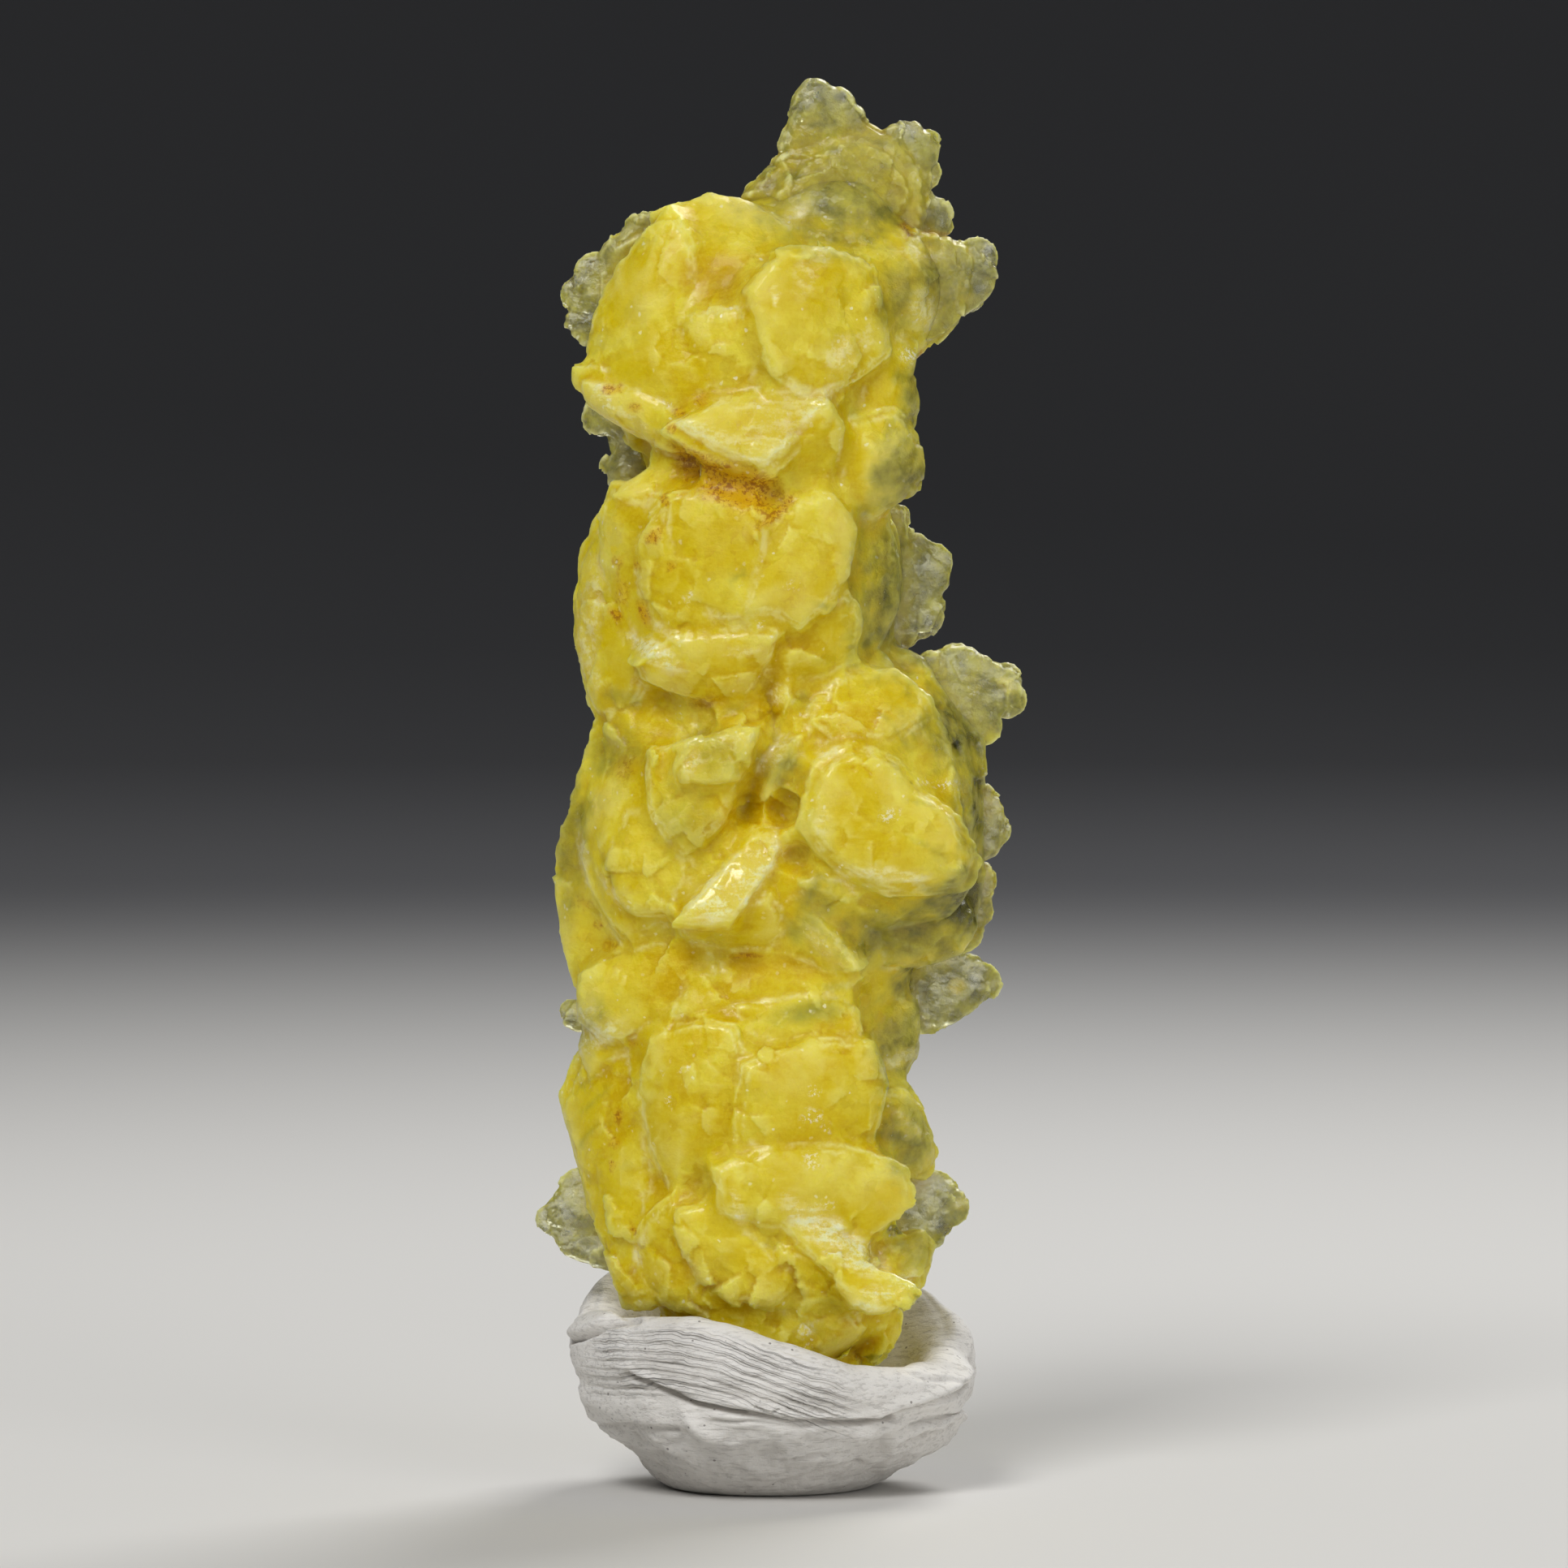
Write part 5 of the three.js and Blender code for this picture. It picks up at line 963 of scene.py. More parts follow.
def knead(obj):
    """Presses the folds, stretch ridges and thumb marks into the putty."""
    places, normals = vertex_arrays(obj)
    x, y, z = places.T
    angle = np.arctan2(y, x)
    rim = curve_through(RIM_HEIGHTS, angle / (2 * math.pi))
    outside = smoothstep(-0.2, 0.3, normals[:, 0] * np.cos(angle) + normals[:, 1] * np.sin(angle))
    off_foot = smoothstep(0.05, 1.2, z)
    front = smoothstep(1.0, -3.0, y) * outside * off_foot
    rest = outside * off_foot - front
    height = 0.34 * soft_noise(places, 4.2, 3.1) + 0.14 * soft_noise(places, 1.7, 8.4)
    height += 0.05 * soft_noise(places * (0.5, 0.5, 1.4), 0.6, 1.7)
    rough = 0.26 * soft_noise(places * (0.6, 0.6, 1), 1.1, 12.3) + 0.12 * soft_noise(places, 0.5, 2.9)
    height += smoothstep(5.2, 4.2, z) * rough
    warp = 0.5 * soft_noise(places, 2.6, 5.0)
    for line, depth, width in FOLDS:
        gap, side = along_line(x + 0.4 * warp, z + 0.4 * warp, line)
        groove = np.exp(-((gap / width) ** 2)) * depth
        lip = np.exp(-(((gap - 1.5 * width) / (1.6 * width)) ** 2)) * 0.4 * depth * (side > 0)
        height += (lip - groove) * front
    for *oval, rise in RAISED:
        height += rise * np.exp(-in_oval(x, z, *oval) ** 2) * front
    below_rim = rim - z
    flow = below_rim + 0.3 * soft_noise(places, 5.0, 2.2) - 0.05 * x
    strands = np.sin(2 * math.pi * flow / RIDGE_PITCH + 1.2 * warp)
    fine = np.sin(2 * math.pi * flow / (RIDGE_PITCH * 0.53) + 2.0 * warp + 1.0)
    stretched = smoothstep(-11.8, -9.4, x) * smoothstep(6.5, 2.5, x) * smoothstep(0.4, 1.1, below_rim)
    stretched *= smoothstep(5.3, 4.3, below_rim) * front
    patchy = 0.4 + 0.6 * smoothstep(-0.35, 0.35, soft_noise(places * (0.4, 0.4, 1.2), 1.5, 6.6))
    height += (0.1 * strands + 0.06 * fine) * stretched * patchy
    swept = smoothstep(-0.1, 0.4, soft_noise(places, 4.0, 4.4))
    height += 0.06 * np.sin(2 * math.pi * flow / 0.8 + 3 * warp) * rest * patchy * swept
    height += 0.5 * soft_noise(places, 3.2, 9.9) * rest
    back_fold = z - CREASE_HEIGHT + CREASE_LEAN * np.cos(angle) - 0.8 * warp
    height -= 0.4 * np.exp(-((back_fold / 0.3) ** 2)) * rest
    height *= np.where(z < 0.05, 0, off_foot + (1 - outside) * (1 - off_foot) * 0.5)
    places += normals * np.clip(height, -0.9, 0.55)[:, None]
    places[:, 2] = np.clip(places[:, 2], 0, None)
    place_vertices(obj, places)
    store(obj, "stretched", stretched * patchy)
    store(obj, "flow", flow)
    store(obj, "hollow", np.clip(-height, 0, 1))


# Marks on the front of the brucite, by kind: x, z, half length, half width, lean in degrees, strength
MARKS = {
    # Olive places where the stone is see-through: clearer, and painted with olive shade of the dark that
    # shows through
    "window": [
        (2.05, 85.1, 0.45, 0.35, 0, 0.9), (4.55, 85.7, 0.6, 0.3, 20, 0.7), (2.9, 84.0, 0.9, 0.35, 10, 0.6),
        (1.55, 80.85, 0.8, 0.4, 0, 0.9), (-0.1, 81.15, 0.55, 0.3, 30, 0.9),
        (3.8, 78.65, 0.95, 0.6, 10, 1.0), (6.85, 78.55, 1.0, 0.6, -8, 0.9), (5.2, 76.9, 1.5, 0.3, 8, 0.6),
        (4.1, 82.5, 0.5, 0.3, 0, 0.8), (6.4, 83.0, 0.9, 0.25, -10, 0.5), (12.9, 74.7, 1.1, 1.0, 20, 0.6),
        (7.5, 72.9, 1.3, 0.7, 30, 0.5), (10.5, 75.9, 0.8, 0.4, 0, 0.4), (8.1, 68.6, 0.6, 0.6, 0, 0.8),
        (8.7, 67.5, 0.5, 0.5, 0, 0.7), (7.4, 65.4, 0.95, 0.35, 76, 0.7), (7.0, 62.5, 1.1, 0.9, 20, 0.7),
        (9.1, 62.3, 0.9, 0.35, 80, 0.7), (5.2, 66.4, 0.6, 0.5, 0, 0.5), (6.2, 60.6, 1.7, 0.45, 12, 0.6),
        (-9.1, 64.4, 1.6, 0.9, -30, 0.6), (5.6, 58.5, 0.6, 1.2, 0, 0.4), (-1.8, 56.5, 0.8, 0.14, 20, 0.9),
        (3.4, 54.7, 0.85, 0.25, -20, 0.9), (6.6, 52.8, 1.5, 0.45, 32, 0.7), (5.1, 51.7, 0.4, 0.8, 0, 0.7),
        (9.5, 51.3, 1.1, 0.7, -20, 0.7), (-8.7, 48.9, 1.3, 0.7, -20, 0.6), (-2.1, 48.4, 1.0, 0.4, 20, 0.6),
        (2.0, 48.9, 0.8, 0.6, 0, 0.6), (7.0, 47.9, 0.7, 0.16, -40, 0.7), (8.1, 46.6, 1.5, 0.14, -58, 0.6),
        (11.8, 45.6, 1.8, 0.36, -60, 0.8), (12.7, 43.9, 0.8, 0.3, -50, 0.8),
        (9.5, 42.7, 1.2, 0.16, -14, 0.6), (9.3, 40.3, 1.0, 0.2, -28, 0.7), (13.7, 39.7, 1.3, 0.6, 80, 0.7),
        (2.7, 37.3, 1.3, 0.35, 56, 0.9), (1.4, 34.9, 1.3, 0.4, -62, 0.6), (4.5, 34.5, 0.9, 0.35, 0, 0.6),
        (10.3, 36.4, 2.3, 0.7, 15, 0.7), (12.2, 36.3, 1.5, 0.8, 30, 0.7), (13.1, 35.4, 0.9, 0.9, 0, 0.7),
        (9.5, 30.4, 1.3, 0.45, 84, 0.7), (2.5, 29.9, 2.6, 0.75, 6, 0.9), (4.1, 31.4, 0.8, 0.3, 0, 0.6),
        (-4.0, 32.4, 0.9, 0.12, -40, 0.5), (-10.2, 44.7, 0.9, 0.5, 10, 0.5),
        (-11.4, 41.6, 1.7, 0.55, 76, 0.5), (-12.7, 39.3, 0.5, 0.35, 90, 0.7),
        (-9.8, 38.3, 1.1, 0.22, -62, 0.8), (-10.7, 24.1, 1.5, 0.22, 45, 0.8),
        (-11.2, 21.9, 1.3, 0.25, 50, 0.8), (-11.2, 25.2, 1.0, 0.18, 45, 0.7),
        (-10.2, 22.4, 1.1, 0.14, 48, 0.6), (6.9, 24.0, 1.2, 0.2, -8, 0.8), (7.3, 22.2, 1.5, 0.28, -6, 0.9),
        (8.9, 21.6, 1.3, 0.25, -20, 0.7), (0.2, 15.7, 0.8, 0.3, 0, 0.4), (10.4, 16.4, 0.7, 0.4, 60, 0.4),
    ],
    # Pearly faces: glossier, and painted pale as highlight
    "pearl": [
        (0.1, 65.6, 3.6, 1.2, 32, 0.4), (2.9, 67.0, 1.4, 0.35, 45, 1.0), (-1.0, 63.7, 1.3, 0.24, -14, 0.9),
        (0.9, 64.6, 1.2, 0.3, 40, 0.8), (-3.7, 65.2, 1.7, 0.6, -20, 0.6),
        (-10.0, 67.3, 1.2, 0.4, -50, 0.8), (-8.3, 66.1, 1.4, 0.25, -35, 0.8),
        (2.5, 75.1, 1.7, 0.8, 60, 0.35), (0.4, 73.6, 0.14, 0.9, 0, 0.8), (4.5, 70.0, 1.3, 0.9, 60, 0.5),
        (9.5, 72.8, 1.3, 0.9, 80, 0.6), (9.5, 76.0, 1.6, 0.55, -10, 0.5), (1.6, 78.4, 0.8, 0.6, 40, 0.5),
        (9.3, 83.9, 0.9, 0.35, -25, 0.5), (-2.6, 72.7, 1.6, 0.12, 8, 0.5),
        (-10.9, 54.0, 3.2, 0.7, 84, 0.5), (-6.9, 51.8, 2.0, 0.6, -30, 0.9),
        (-10.8, 50.4, 1.0, 0.4, -70, 0.6), (0.6, 49.2, 0.6, 0.45, 30, 1.0),
        (-4.6, 45.3, 0.9, 0.5, 80, 0.9), (-2.5, 46.6, 2.0, 0.22, 8, 0.7), (0.4, 45.6, 1.3, 0.5, 55, 0.7),
        (3.7, 45.9, 0.8, 0.5, 0, 0.6), (3.3, 41.7, 0.7, 0.45, 80, 0.8), (7.2, 38.4, 2.0, 0.36, -6, 1.0),
        (4.8, 37.8, 1.0, 0.24, -52, 0.9), (3.1, 34.1, 1.2, 0.35, -52, 0.9),
        (-2.1, 37.9, 3.5, 1.1, 40, 0.9), (-2.9, 36.5, 1.9, 0.7, 14, 1.0),
        (-11.4, 39.3, 1.9, 0.3, 100, 0.7), (-9.9, 37.4, 1.2, 0.2, -58, 0.7),
        (11.6, 31.0, 0.5, 0.45, 0, 0.9), (-11.2, 29.6, 0.9, 0.6, 70, 0.5),
        (-10.4, 28.2, 1.6, 0.7, 35, 0.7), (8.1, 26.7, 1.1, 0.5, 20, 0.8), (-1.9, 18.3, 1.2, 0.3, -76, 0.9),
        (4.0, 16.3, 3.6, 0.95, -38, 1.0), (7.4, 13.1, 2.1, 0.5, 16, 1.0), (-7.9, 15.1, 1.5, 0.28, 72, 0.6),
        (12.0, 17.4, 0.6, 0.4, 0, 0.7), (8.5, 23.0, 1.3, 0.22, -46, 0.8), (5.9, 12.2, 0.9, 0.4, -10, 0.9),
        (-1.7, 51.9, 1.0, 0.25, 10, 0.8), (-6.0, 46.8, 1.6, 0.14, -8, 0.5),
        (14.6, 49.6, 0.7, 0.4, -30, 0.5), (2.4, 10.4, 0.8, 0.5, 20, 0.6), (-4.6, 12.6, 0.9, 0.2, 70, 0.5),
        (-6.0, 53.0, 1.2, 0.4, -30, 0.5), (6.0, 71.0, 1.0, 0.6, 70, 0.35), (-0.6, 66.9, 2.4, 0.5, 24, 0.5),
    ],
    # Iron stains and brown grains
    "stain": [
        (-4.3, 63.5, 1.9, 0.6, -28, 0.9), (-2.0, 62.0, 3.0, 1.3, -18, 1.0), (0.5, 60.4, 1.6, 0.3, 40, 0.9),
        (-9.7, 67.8, 0.4, 0.3, 0, 0.9), (-9.0, 67.9, 0.2, 0.25, 0, 0.9), (-8.1, 66.8, 0.3, 0.25, 0, 0.8),
        (-4.0, 67.2, 0.3, 0.45, 0, 0.8), (-5.4, 66.4, 0.4, 0.3, 0, 0.8), (-5.9, 65.5, 0.3, 0.3, 0, 0.7),
        (-6.3, 61.1, 0.25, 0.35, 0, 0.9), (-7.0, 58.9, 0.6, 0.35, 40, 1.0), (-8.0, 57.1, 0.2, 0.2, 0, 0.8),
        (-5.9, 57.1, 0.2, 0.25, 0, 0.8), (-9.2, 57.3, 0.4, 0.25, 0, 0.6), (-9.0, 55.5, 0.5, 0.8, 0, 0.5),
        (-9.3, 54.1, 0.45, 0.3, -30, 1.0), (-7.6, 54.1, 0.75, 0.3, 112, 1.0),
        (-10.4, 34.9, 0.22, 0.18, 0, 1.0), (-11.4, 36.2, 0.6, 0.3, 0, 0.5), (-9.7, 33.7, 0.5, 0.3, 0, 0.4),
        (-8.6, 44.7, 0.9, 0.6, 20, 0.5), (-1.3, 33.3, 0.9, 0.15, 0, 0.8), (-9.2, 23.3, 0.4, 0.22, 80, 1.0),
        (-9.6, 20.3, 0.3, 0.2, 90, 0.9), (-9.4, 21.7, 0.4, 0.3, 40, 0.6), (-8.3, 27.8, 0.3, 0.25, 0, 0.6),
        (-8.3, 16.4, 0.25, 0.2, 0, 1.0), (8.5, 77.6, 0.5, 0.28, -40, 1.0),
        (10.6, 77.3, 1.1, 0.14, -6, 0.7), (9.3, 69.7, 0.6, 0.12, 76, 0.9), (-3.9, 48.8, 0.9, 0.4, 10, 0.4),
        (-5.0, 51.0, 0.6, 0.2, 0, 0.3),
    ],
    # White bruises and grains
    "scuff": [
        (2.6, 23.7, 0.6, 0.42, -15, 1.0), (2.7, 25.2, 0.35, 0.35, 0, 1.0), (-6.1, 24.5, 0.22, 0.3, 0, 1.0),
        (-6.4, 26.1, 0.15, 0.3, 0, 0.9), (-5.1, 26.5, 0.35, 0.12, 20, 0.8), (2.6, 20.9, 0.35, 0.6, 0, 0.7),
        (3.6, 22.9, 0.14, 0.4, -20, 0.8), (3.4, 18.2, 0.7, 0.25, 0, 0.6), (8.6, 69.9, 0.5, 0.5, 0, 1.0),
        (7.4, 42.0, 0.55, 0.4, 0, 0.9), (10.9, 43.7, 0.8, 0.35, 0, 0.9), (-4.8, 55.3, 0.15, 0.4, -10, 0.8),
        (-1.7, 55.9, 0.2, 0.25, 0, 0.7), (1.3, 56.0, 0.6, 0.14, 0, 0.7), (-0.5, 53.6, 0.25, 0.2, 0, 0.8),
        (2.3, 10.4, 0.5, 0.4, 0, 0.7), (2.4, 9.2, 0.25, 0.25, 0, 0.7), (-0.9, 12.1, 0.2, 0.2, 0, 0.8),
        (12.8, 49.2, 0.4, 0.3, 60, 0.8), (12.8, 46.2, 0.35, 0.6, 0, 0.6), (13.4, 44.2, 0.4, 0.4, 0, 0.7),
        (-5.4, 47.9, 0.2, 0.2, 0, 0.7), (9.6, 43.9, 0.3, 0.2, 0, 0.6), (-6.2, 66.9, 0.2, 0.2, 0, 0.7),
    ],
    # Hollows painted a deeper, darker gold, as shade
    "gold_shade": [
        (-2.9, 74.5, 2.4, 1.7, -10, 1.0), (-1.6, 68.6, 2.0, 0.9, 60, 0.7), (2.6, 57.4, 2.6, 3.4, 0, 0.45),
        (1.2, 52.6, 2.8, 1.2, 10, 0.7), (-0.2, 48.2, 2.6, 1.0, 96, 1.0), (-0.8, 43.6, 2.7, 0.9, 72, 1.0),
        (-2.5, 41.6, 1.4, 0.9, 40, 0.8), (5.0, 47.2, 2.4, 1.4, 10, 0.7), (7.0, 36.8, 2.2, 0.5, 0, 0.9),
        (-11.8, 34.3, 2.6, 0.8, 100, 0.6), (-0.9, 32.6, 4.2, 1.4, -8, 1.0),
        (-6.2, 31.4, 2.4, 0.8, 36, 0.6), (-0.4, 26.9, 2.6, 1.8, 0, 0.7), (-6.0, 18.9, 1.6, 2.4, 0, 0.6),
        (-4.2, 14.5, 1.6, 1.6, 0, 0.7), (-0.8, 13.2, 3.4, 1.3, 0, 0.6), (4.3, 9.6, 1.9, 1.7, 0, 1.0),
        (-2.6, 61.6, 3.4, 1.0, -14, 0.7), (-2.4, 58.6, 2.6, 3.2, 0, 0.8), (-4.6, 24.6, 2.0, 3.2, 10, 0.4),
        (1.0, 24.6, 2.4, 2.6, 0, 0.3), (-9.0, 24.0, 1.4, 3.8, 0, 0.5), (-8.2, 57.4, 2.2, 2.6, 0, 0.35),
        (-3.0, 11.4, 3.0, 1.0, 0, 0.5),
    ],
    # Parts that are pale and see-through all over
    "sheer": [
        (4.6, 80.4, 6.2, 4.2, 0, 0.75), (4.0, 85.0, 2.8, 2.4, 0, 1.0), (8.8, 82.4, 2.2, 2.2, 0, 0.8),
        (11.4, 74.4, 3.6, 3.2, 0, 0.9), (8.2, 73.6, 1.8, 2.4, 0, 0.5), (9.4, 66.5, 1.4, 3.4, 0, 0.7),
        (8.4, 62.6, 2.0, 3.0, 0, 0.7), (8.6, 55.5, 3.2, 5.4, 0, 0.9), (12.8, 47.8, 3.6, 3.6, 0, 0.9),
        (13.2, 41.6, 1.8, 4.0, 0, 0.8), (12.2, 36.4, 2.6, 3.2, 0, 0.9), (8.4, 34.4, 4.6, 2.2, 0, 0.7),
        (11.0, 31.0, 3.6, 3.2, 0, 1.0), (8.4, 27.6, 2.0, 2.8, 0, 0.8), (-12.2, 40.0, 1.2, 4.6, 0, 0.5),
        (9.0, 21.9, 2.0, 2.8, 0, 0.6), (-9.4, 45.8, 2.0, 1.8, 0, 0.4), (-3.2, 45.6, 2.2, 1.8, 0, 0.35),
        (0.7, 45.0, 1.4, 1.8, 0, 0.6), (-11.2, 28.8, 1.6, 2.0, 0, 0.5), (9.4, 15.2, 1.8, 2.6, 0, 0.5),
        (3.0, 36.0, 1.6, 2.4, 0, 0.4), (-5.0, 41.4, 2.0, 2.4, 0, 0.25),
    ],
}

SOFT_MARKS = ("window", "gold_shade", "sheer")
# Marks of the sides and the back, strewn by noise: kind, size of the patches, and how rare they are
BACK_MARKS = [("window", 2.2, 0.32), ("pearl", 2.8, 0.2), ("stain", 2.0, 0.5), ("sheer", 5.0, 0.2)]


def marks_of(kind, x, z, warp):
    """How strongly each point lies in a mark of this kind, its outline bent by the warp."""
    total = np.zeros(len(x))
    inner = 0.1 if kind in SOFT_MARKS else 0.6
    for *oval, strength in MARKS[kind]:
        near = np.abs(z - oval[1]) < 1.6 * max(oval[2:4]) + 0.4
        reach = in_oval(x[near], z[near], *oval) + 0.34 * warp[near]
        faint = 1.0 if kind in ("stain", "scuff") else min(1.0, 0.4 + oval[3])
        total[near] = np.maximum(total[near], faint * strength * smoothstep(1.4, inner, reach))
    return total


# What the surface of the brucite knows about itself


def neighbours_mean(edges, values):
    """The mean of each vertex's neighbours."""
    count = len(values)
    one, other = edges.T
    total = np.stack([
        np.bincount(one, column[other], count) + np.bincount(other, column[one], count)
        for column in values.T
    ], 1)
    return total / np.maximum(np.bincount(edges.ravel(), minlength=count), 1)[:, None]


def evened(edges, values, rounds):
    values = values[:, None]
    for _ in range(rounds):
        values = 0.5 * values + 0.5 * neighbours_mean(edges, values)
    return values[:, 0]


def filled_in(edges, values, known):
    """Values for the vertices that weren't measured, from their measured neighbours."""
    weight = known.astype(float)
    values = values * weight
    for _ in range(6):
        around = neighbours_mean(edges, np.stack([values * weight, weight], 1))
        guess = around[:, 0] / np.maximum(around[:, 1], 1e-9)
        values = np.where(known, values, guess)
        weight = np.maximum(weight, (around[:, 1] > 0).astype(float))
    return values


def dome_of_rays(count):
    """Directions spread over a dome round +Z."""
    golden = math.pi * (3 - math.sqrt(5))
    heights = [1 - 0.85 * (i + 0.5) / count for i in range(count)]
    return [
        (math.cos(i * golden) * math.sqrt(1 - h * h), math.sin(i * golden) * math.sqrt(1 - h * h), h)
        for i, h in enumerate(heights)
    ]


def tree_of(obj):
    mesh = obj.data
    mesh.calc_loop_triangles()
    corners = np.empty(len(mesh.loop_triangles) * 3, np.int32)
    mesh.loop_triangles.foreach_get("vertices", corners)
    points = [vertex.co for vertex in mesh.vertices]
    return BVHTree.FromPolygons(points, corners.reshape(-1, 3).tolist(), all_triangles=True)


def thickness_and_shelter(own, trees, places, normals):
    """How thick the stone is at the measured vertices, and how much stone stands round them, 0 to 1."""
    inward = dome_of_rays(INWARD_RAYS)
    outward = dome_of_rays(OUTWARD_RAYS)
    thickness = np.zeros(len(places))
    shelter = np.zeros(len(places))
    for i in range(0, len(places), MEASURE_EVERY):
        place = Vector(places[i]) * MM
        normal = Vector(normals[i])
        side = normal.orthogonal().normalized()
        third = normal.cross(side)
        paths = []
        for u, v, w in inward:
            ray = -(normal * w + side * u + third * v)
            length = own.ray_cast(place + ray * 0.02 * MM, ray, DEEPEST * MM)[3]
            paths.append(DEEPEST if length is None else length / MM)
        thickness[i] = sorted(paths)[INWARD_RAYS // 2 + 1]
        for u, v, w in outward:
            ray = normal * w + side * u + third * v
            start = place + ray * 0.03 * MM
            hit = any(tree.ray_cast(start, ray, SHELTER_REACH * MM)[0] for tree in trees)
            shelter[i] += hit / OUTWARD_RAYS
    return thickness, shelter


def marks_at(places, normals):
    """How strong each kind of mark is at each vertex: measured in front, strewn at the sides and behind."""
    x, _, z = places.T
    warp = soft_noise(places, 0.9, 4.0) + 0.5 * soft_noise(places, 0.35, 9.0)
    front = smoothstep(0.45, -0.1, normals[:, 1])
    marks = {kind: marks_of(kind, x, z, warp) * front for kind in MARKS}
    for kind, size, least in BACK_MARKS:
        patches = smoothstep(least, least + 0.18, soft_noise(places, size, 3.3 * size) + 0.12 * warp)
        marks[kind] += 0.6 * (1 - front) * patches
    return marks


def measure_surface(pieces):
    """Stores on every vertex how thick the stone is, how sheltered it lies, the painted shade drawn from
    that, and the marks it has.
    """
    trees = [tree_of(obj) for obj in pieces]
    for own, obj in zip(trees, pieces):
        places, normals = vertex_arrays(obj)
        if obj is not pieces[0]:
            away = [trees[0].find_nearest(place)[3] / MM for place in (places * MM).tolist()]
            store(obj, "root", smoothstep(1.6, 0.1, np.array(away)))
        edges = np.empty(len(obj.data.edges) * 2, np.int32)
        obj.data.edges.foreach_get("vertices", edges)
        edges = edges.reshape(-1, 2)
        thickness, shelter = thickness_and_shelter(own, trees, places, normals)
        known = np.arange(len(places)) % MEASURE_EVERY == 0
        smooth = places
        for _ in range(24):
            smooth = 0.4 * smooth + 0.6 * neighbours_mean(edges, smooth)
        relief = ((places - smooth) * normals).sum(1)
        marks = marks_at(places, normals)
        drifted = places + 0.7 * np.stack([soft_noise(places, 1.8, seed) for seed in (1.1, 2.3, 5.7)], 1)
        # Shards and chips: tilted cells whose gradient is painted as light on one side and shade on the
        # other, in the shade and the pale tone below
        shards = tilted_cells(drifted, 3.4)
        chips = tilted_cells(drifted, 1.4)
        lively = smoothstep(-0.2, 0.2, soft_noise(places, 3.2, 8.8))
        # Painted shade: sheltered places, the golden hollows and concave places are drawn a darker, deeper
        # gold
        hollow_shade = evened(edges, filled_in(edges, shelter, known), 4)
        low = 1.1 * hollow_shade + 0.9 * marks["gold_shade"] + 0.35 * soft_noise(places, 5.5, 2.0) - 2 * relief
        store(obj, "thickness", evened(edges, filled_in(edges, thickness, known), 8))
        store(obj, "depth", low - 0.9 * shards - 0.4 * chips)
        store(obj, "pale", np.clip(0.35 * lively + 0.7 * shards + 1.1 * chips * lively, 0, 1))
        store(obj, "lively", lively)
        # Crests: convex places, painted pale as highlight and drawn less clear
        store(obj, "crest", smoothstep(0.03, 0.15, relief))
        for kind in ("window", "pearl", "stain", "scuff", "sheer"):
            store(obj, kind, marks[kind])


# Shader sockets as numbers


class Value:
    """A shader socket that can be used in Python expressions."""

    def __init__(self, paint, socket):
        self.paint = paint
        self.socket = socket

    def maths(self, operation, first, second, clamp=False):
        settings = {"operation": operation, "use_clamp": clamp}
        return self.paint.node("ShaderNodeMath", settings, {0: first, 1: second})

    def __add__(self, other):
        return self.maths("ADD", self, other)

    def __sub__(self, other):
        return self.maths("SUBTRACT", self, other)

    def __rsub__(self, other):
        return self.maths("SUBTRACT", other, self)

    def __mul__(self, other):
        return self.maths("MULTIPLY", self, other)

    def __truediv__(self, other):
        return self.maths("DIVIDE", self, other)

    def clamped(self):
        return self.maths("ADD", self, 0.0, clamp=True)

    def or_more(self, other):
        return self.maths("MAXIMUM", self, other)

    def sine(self):
        return self.maths("SINE", self, 0.0)

    def size(self):
        return self.maths("ABSOLUTE", self, 0.0)

    __radd__ = __add__
    __rmul__ = __mul__


def colour(red, green, blue):
    """A colour of the screen, 0 to 255, as the shader's linear values."""
    def linear(value):
        value /= 255
        return value / 12.92 if value <= 0.04045 else ((value + 0.055) / 1.055) ** 2.4
    return (linear(red), linear(green), linear(blue), 1.0)


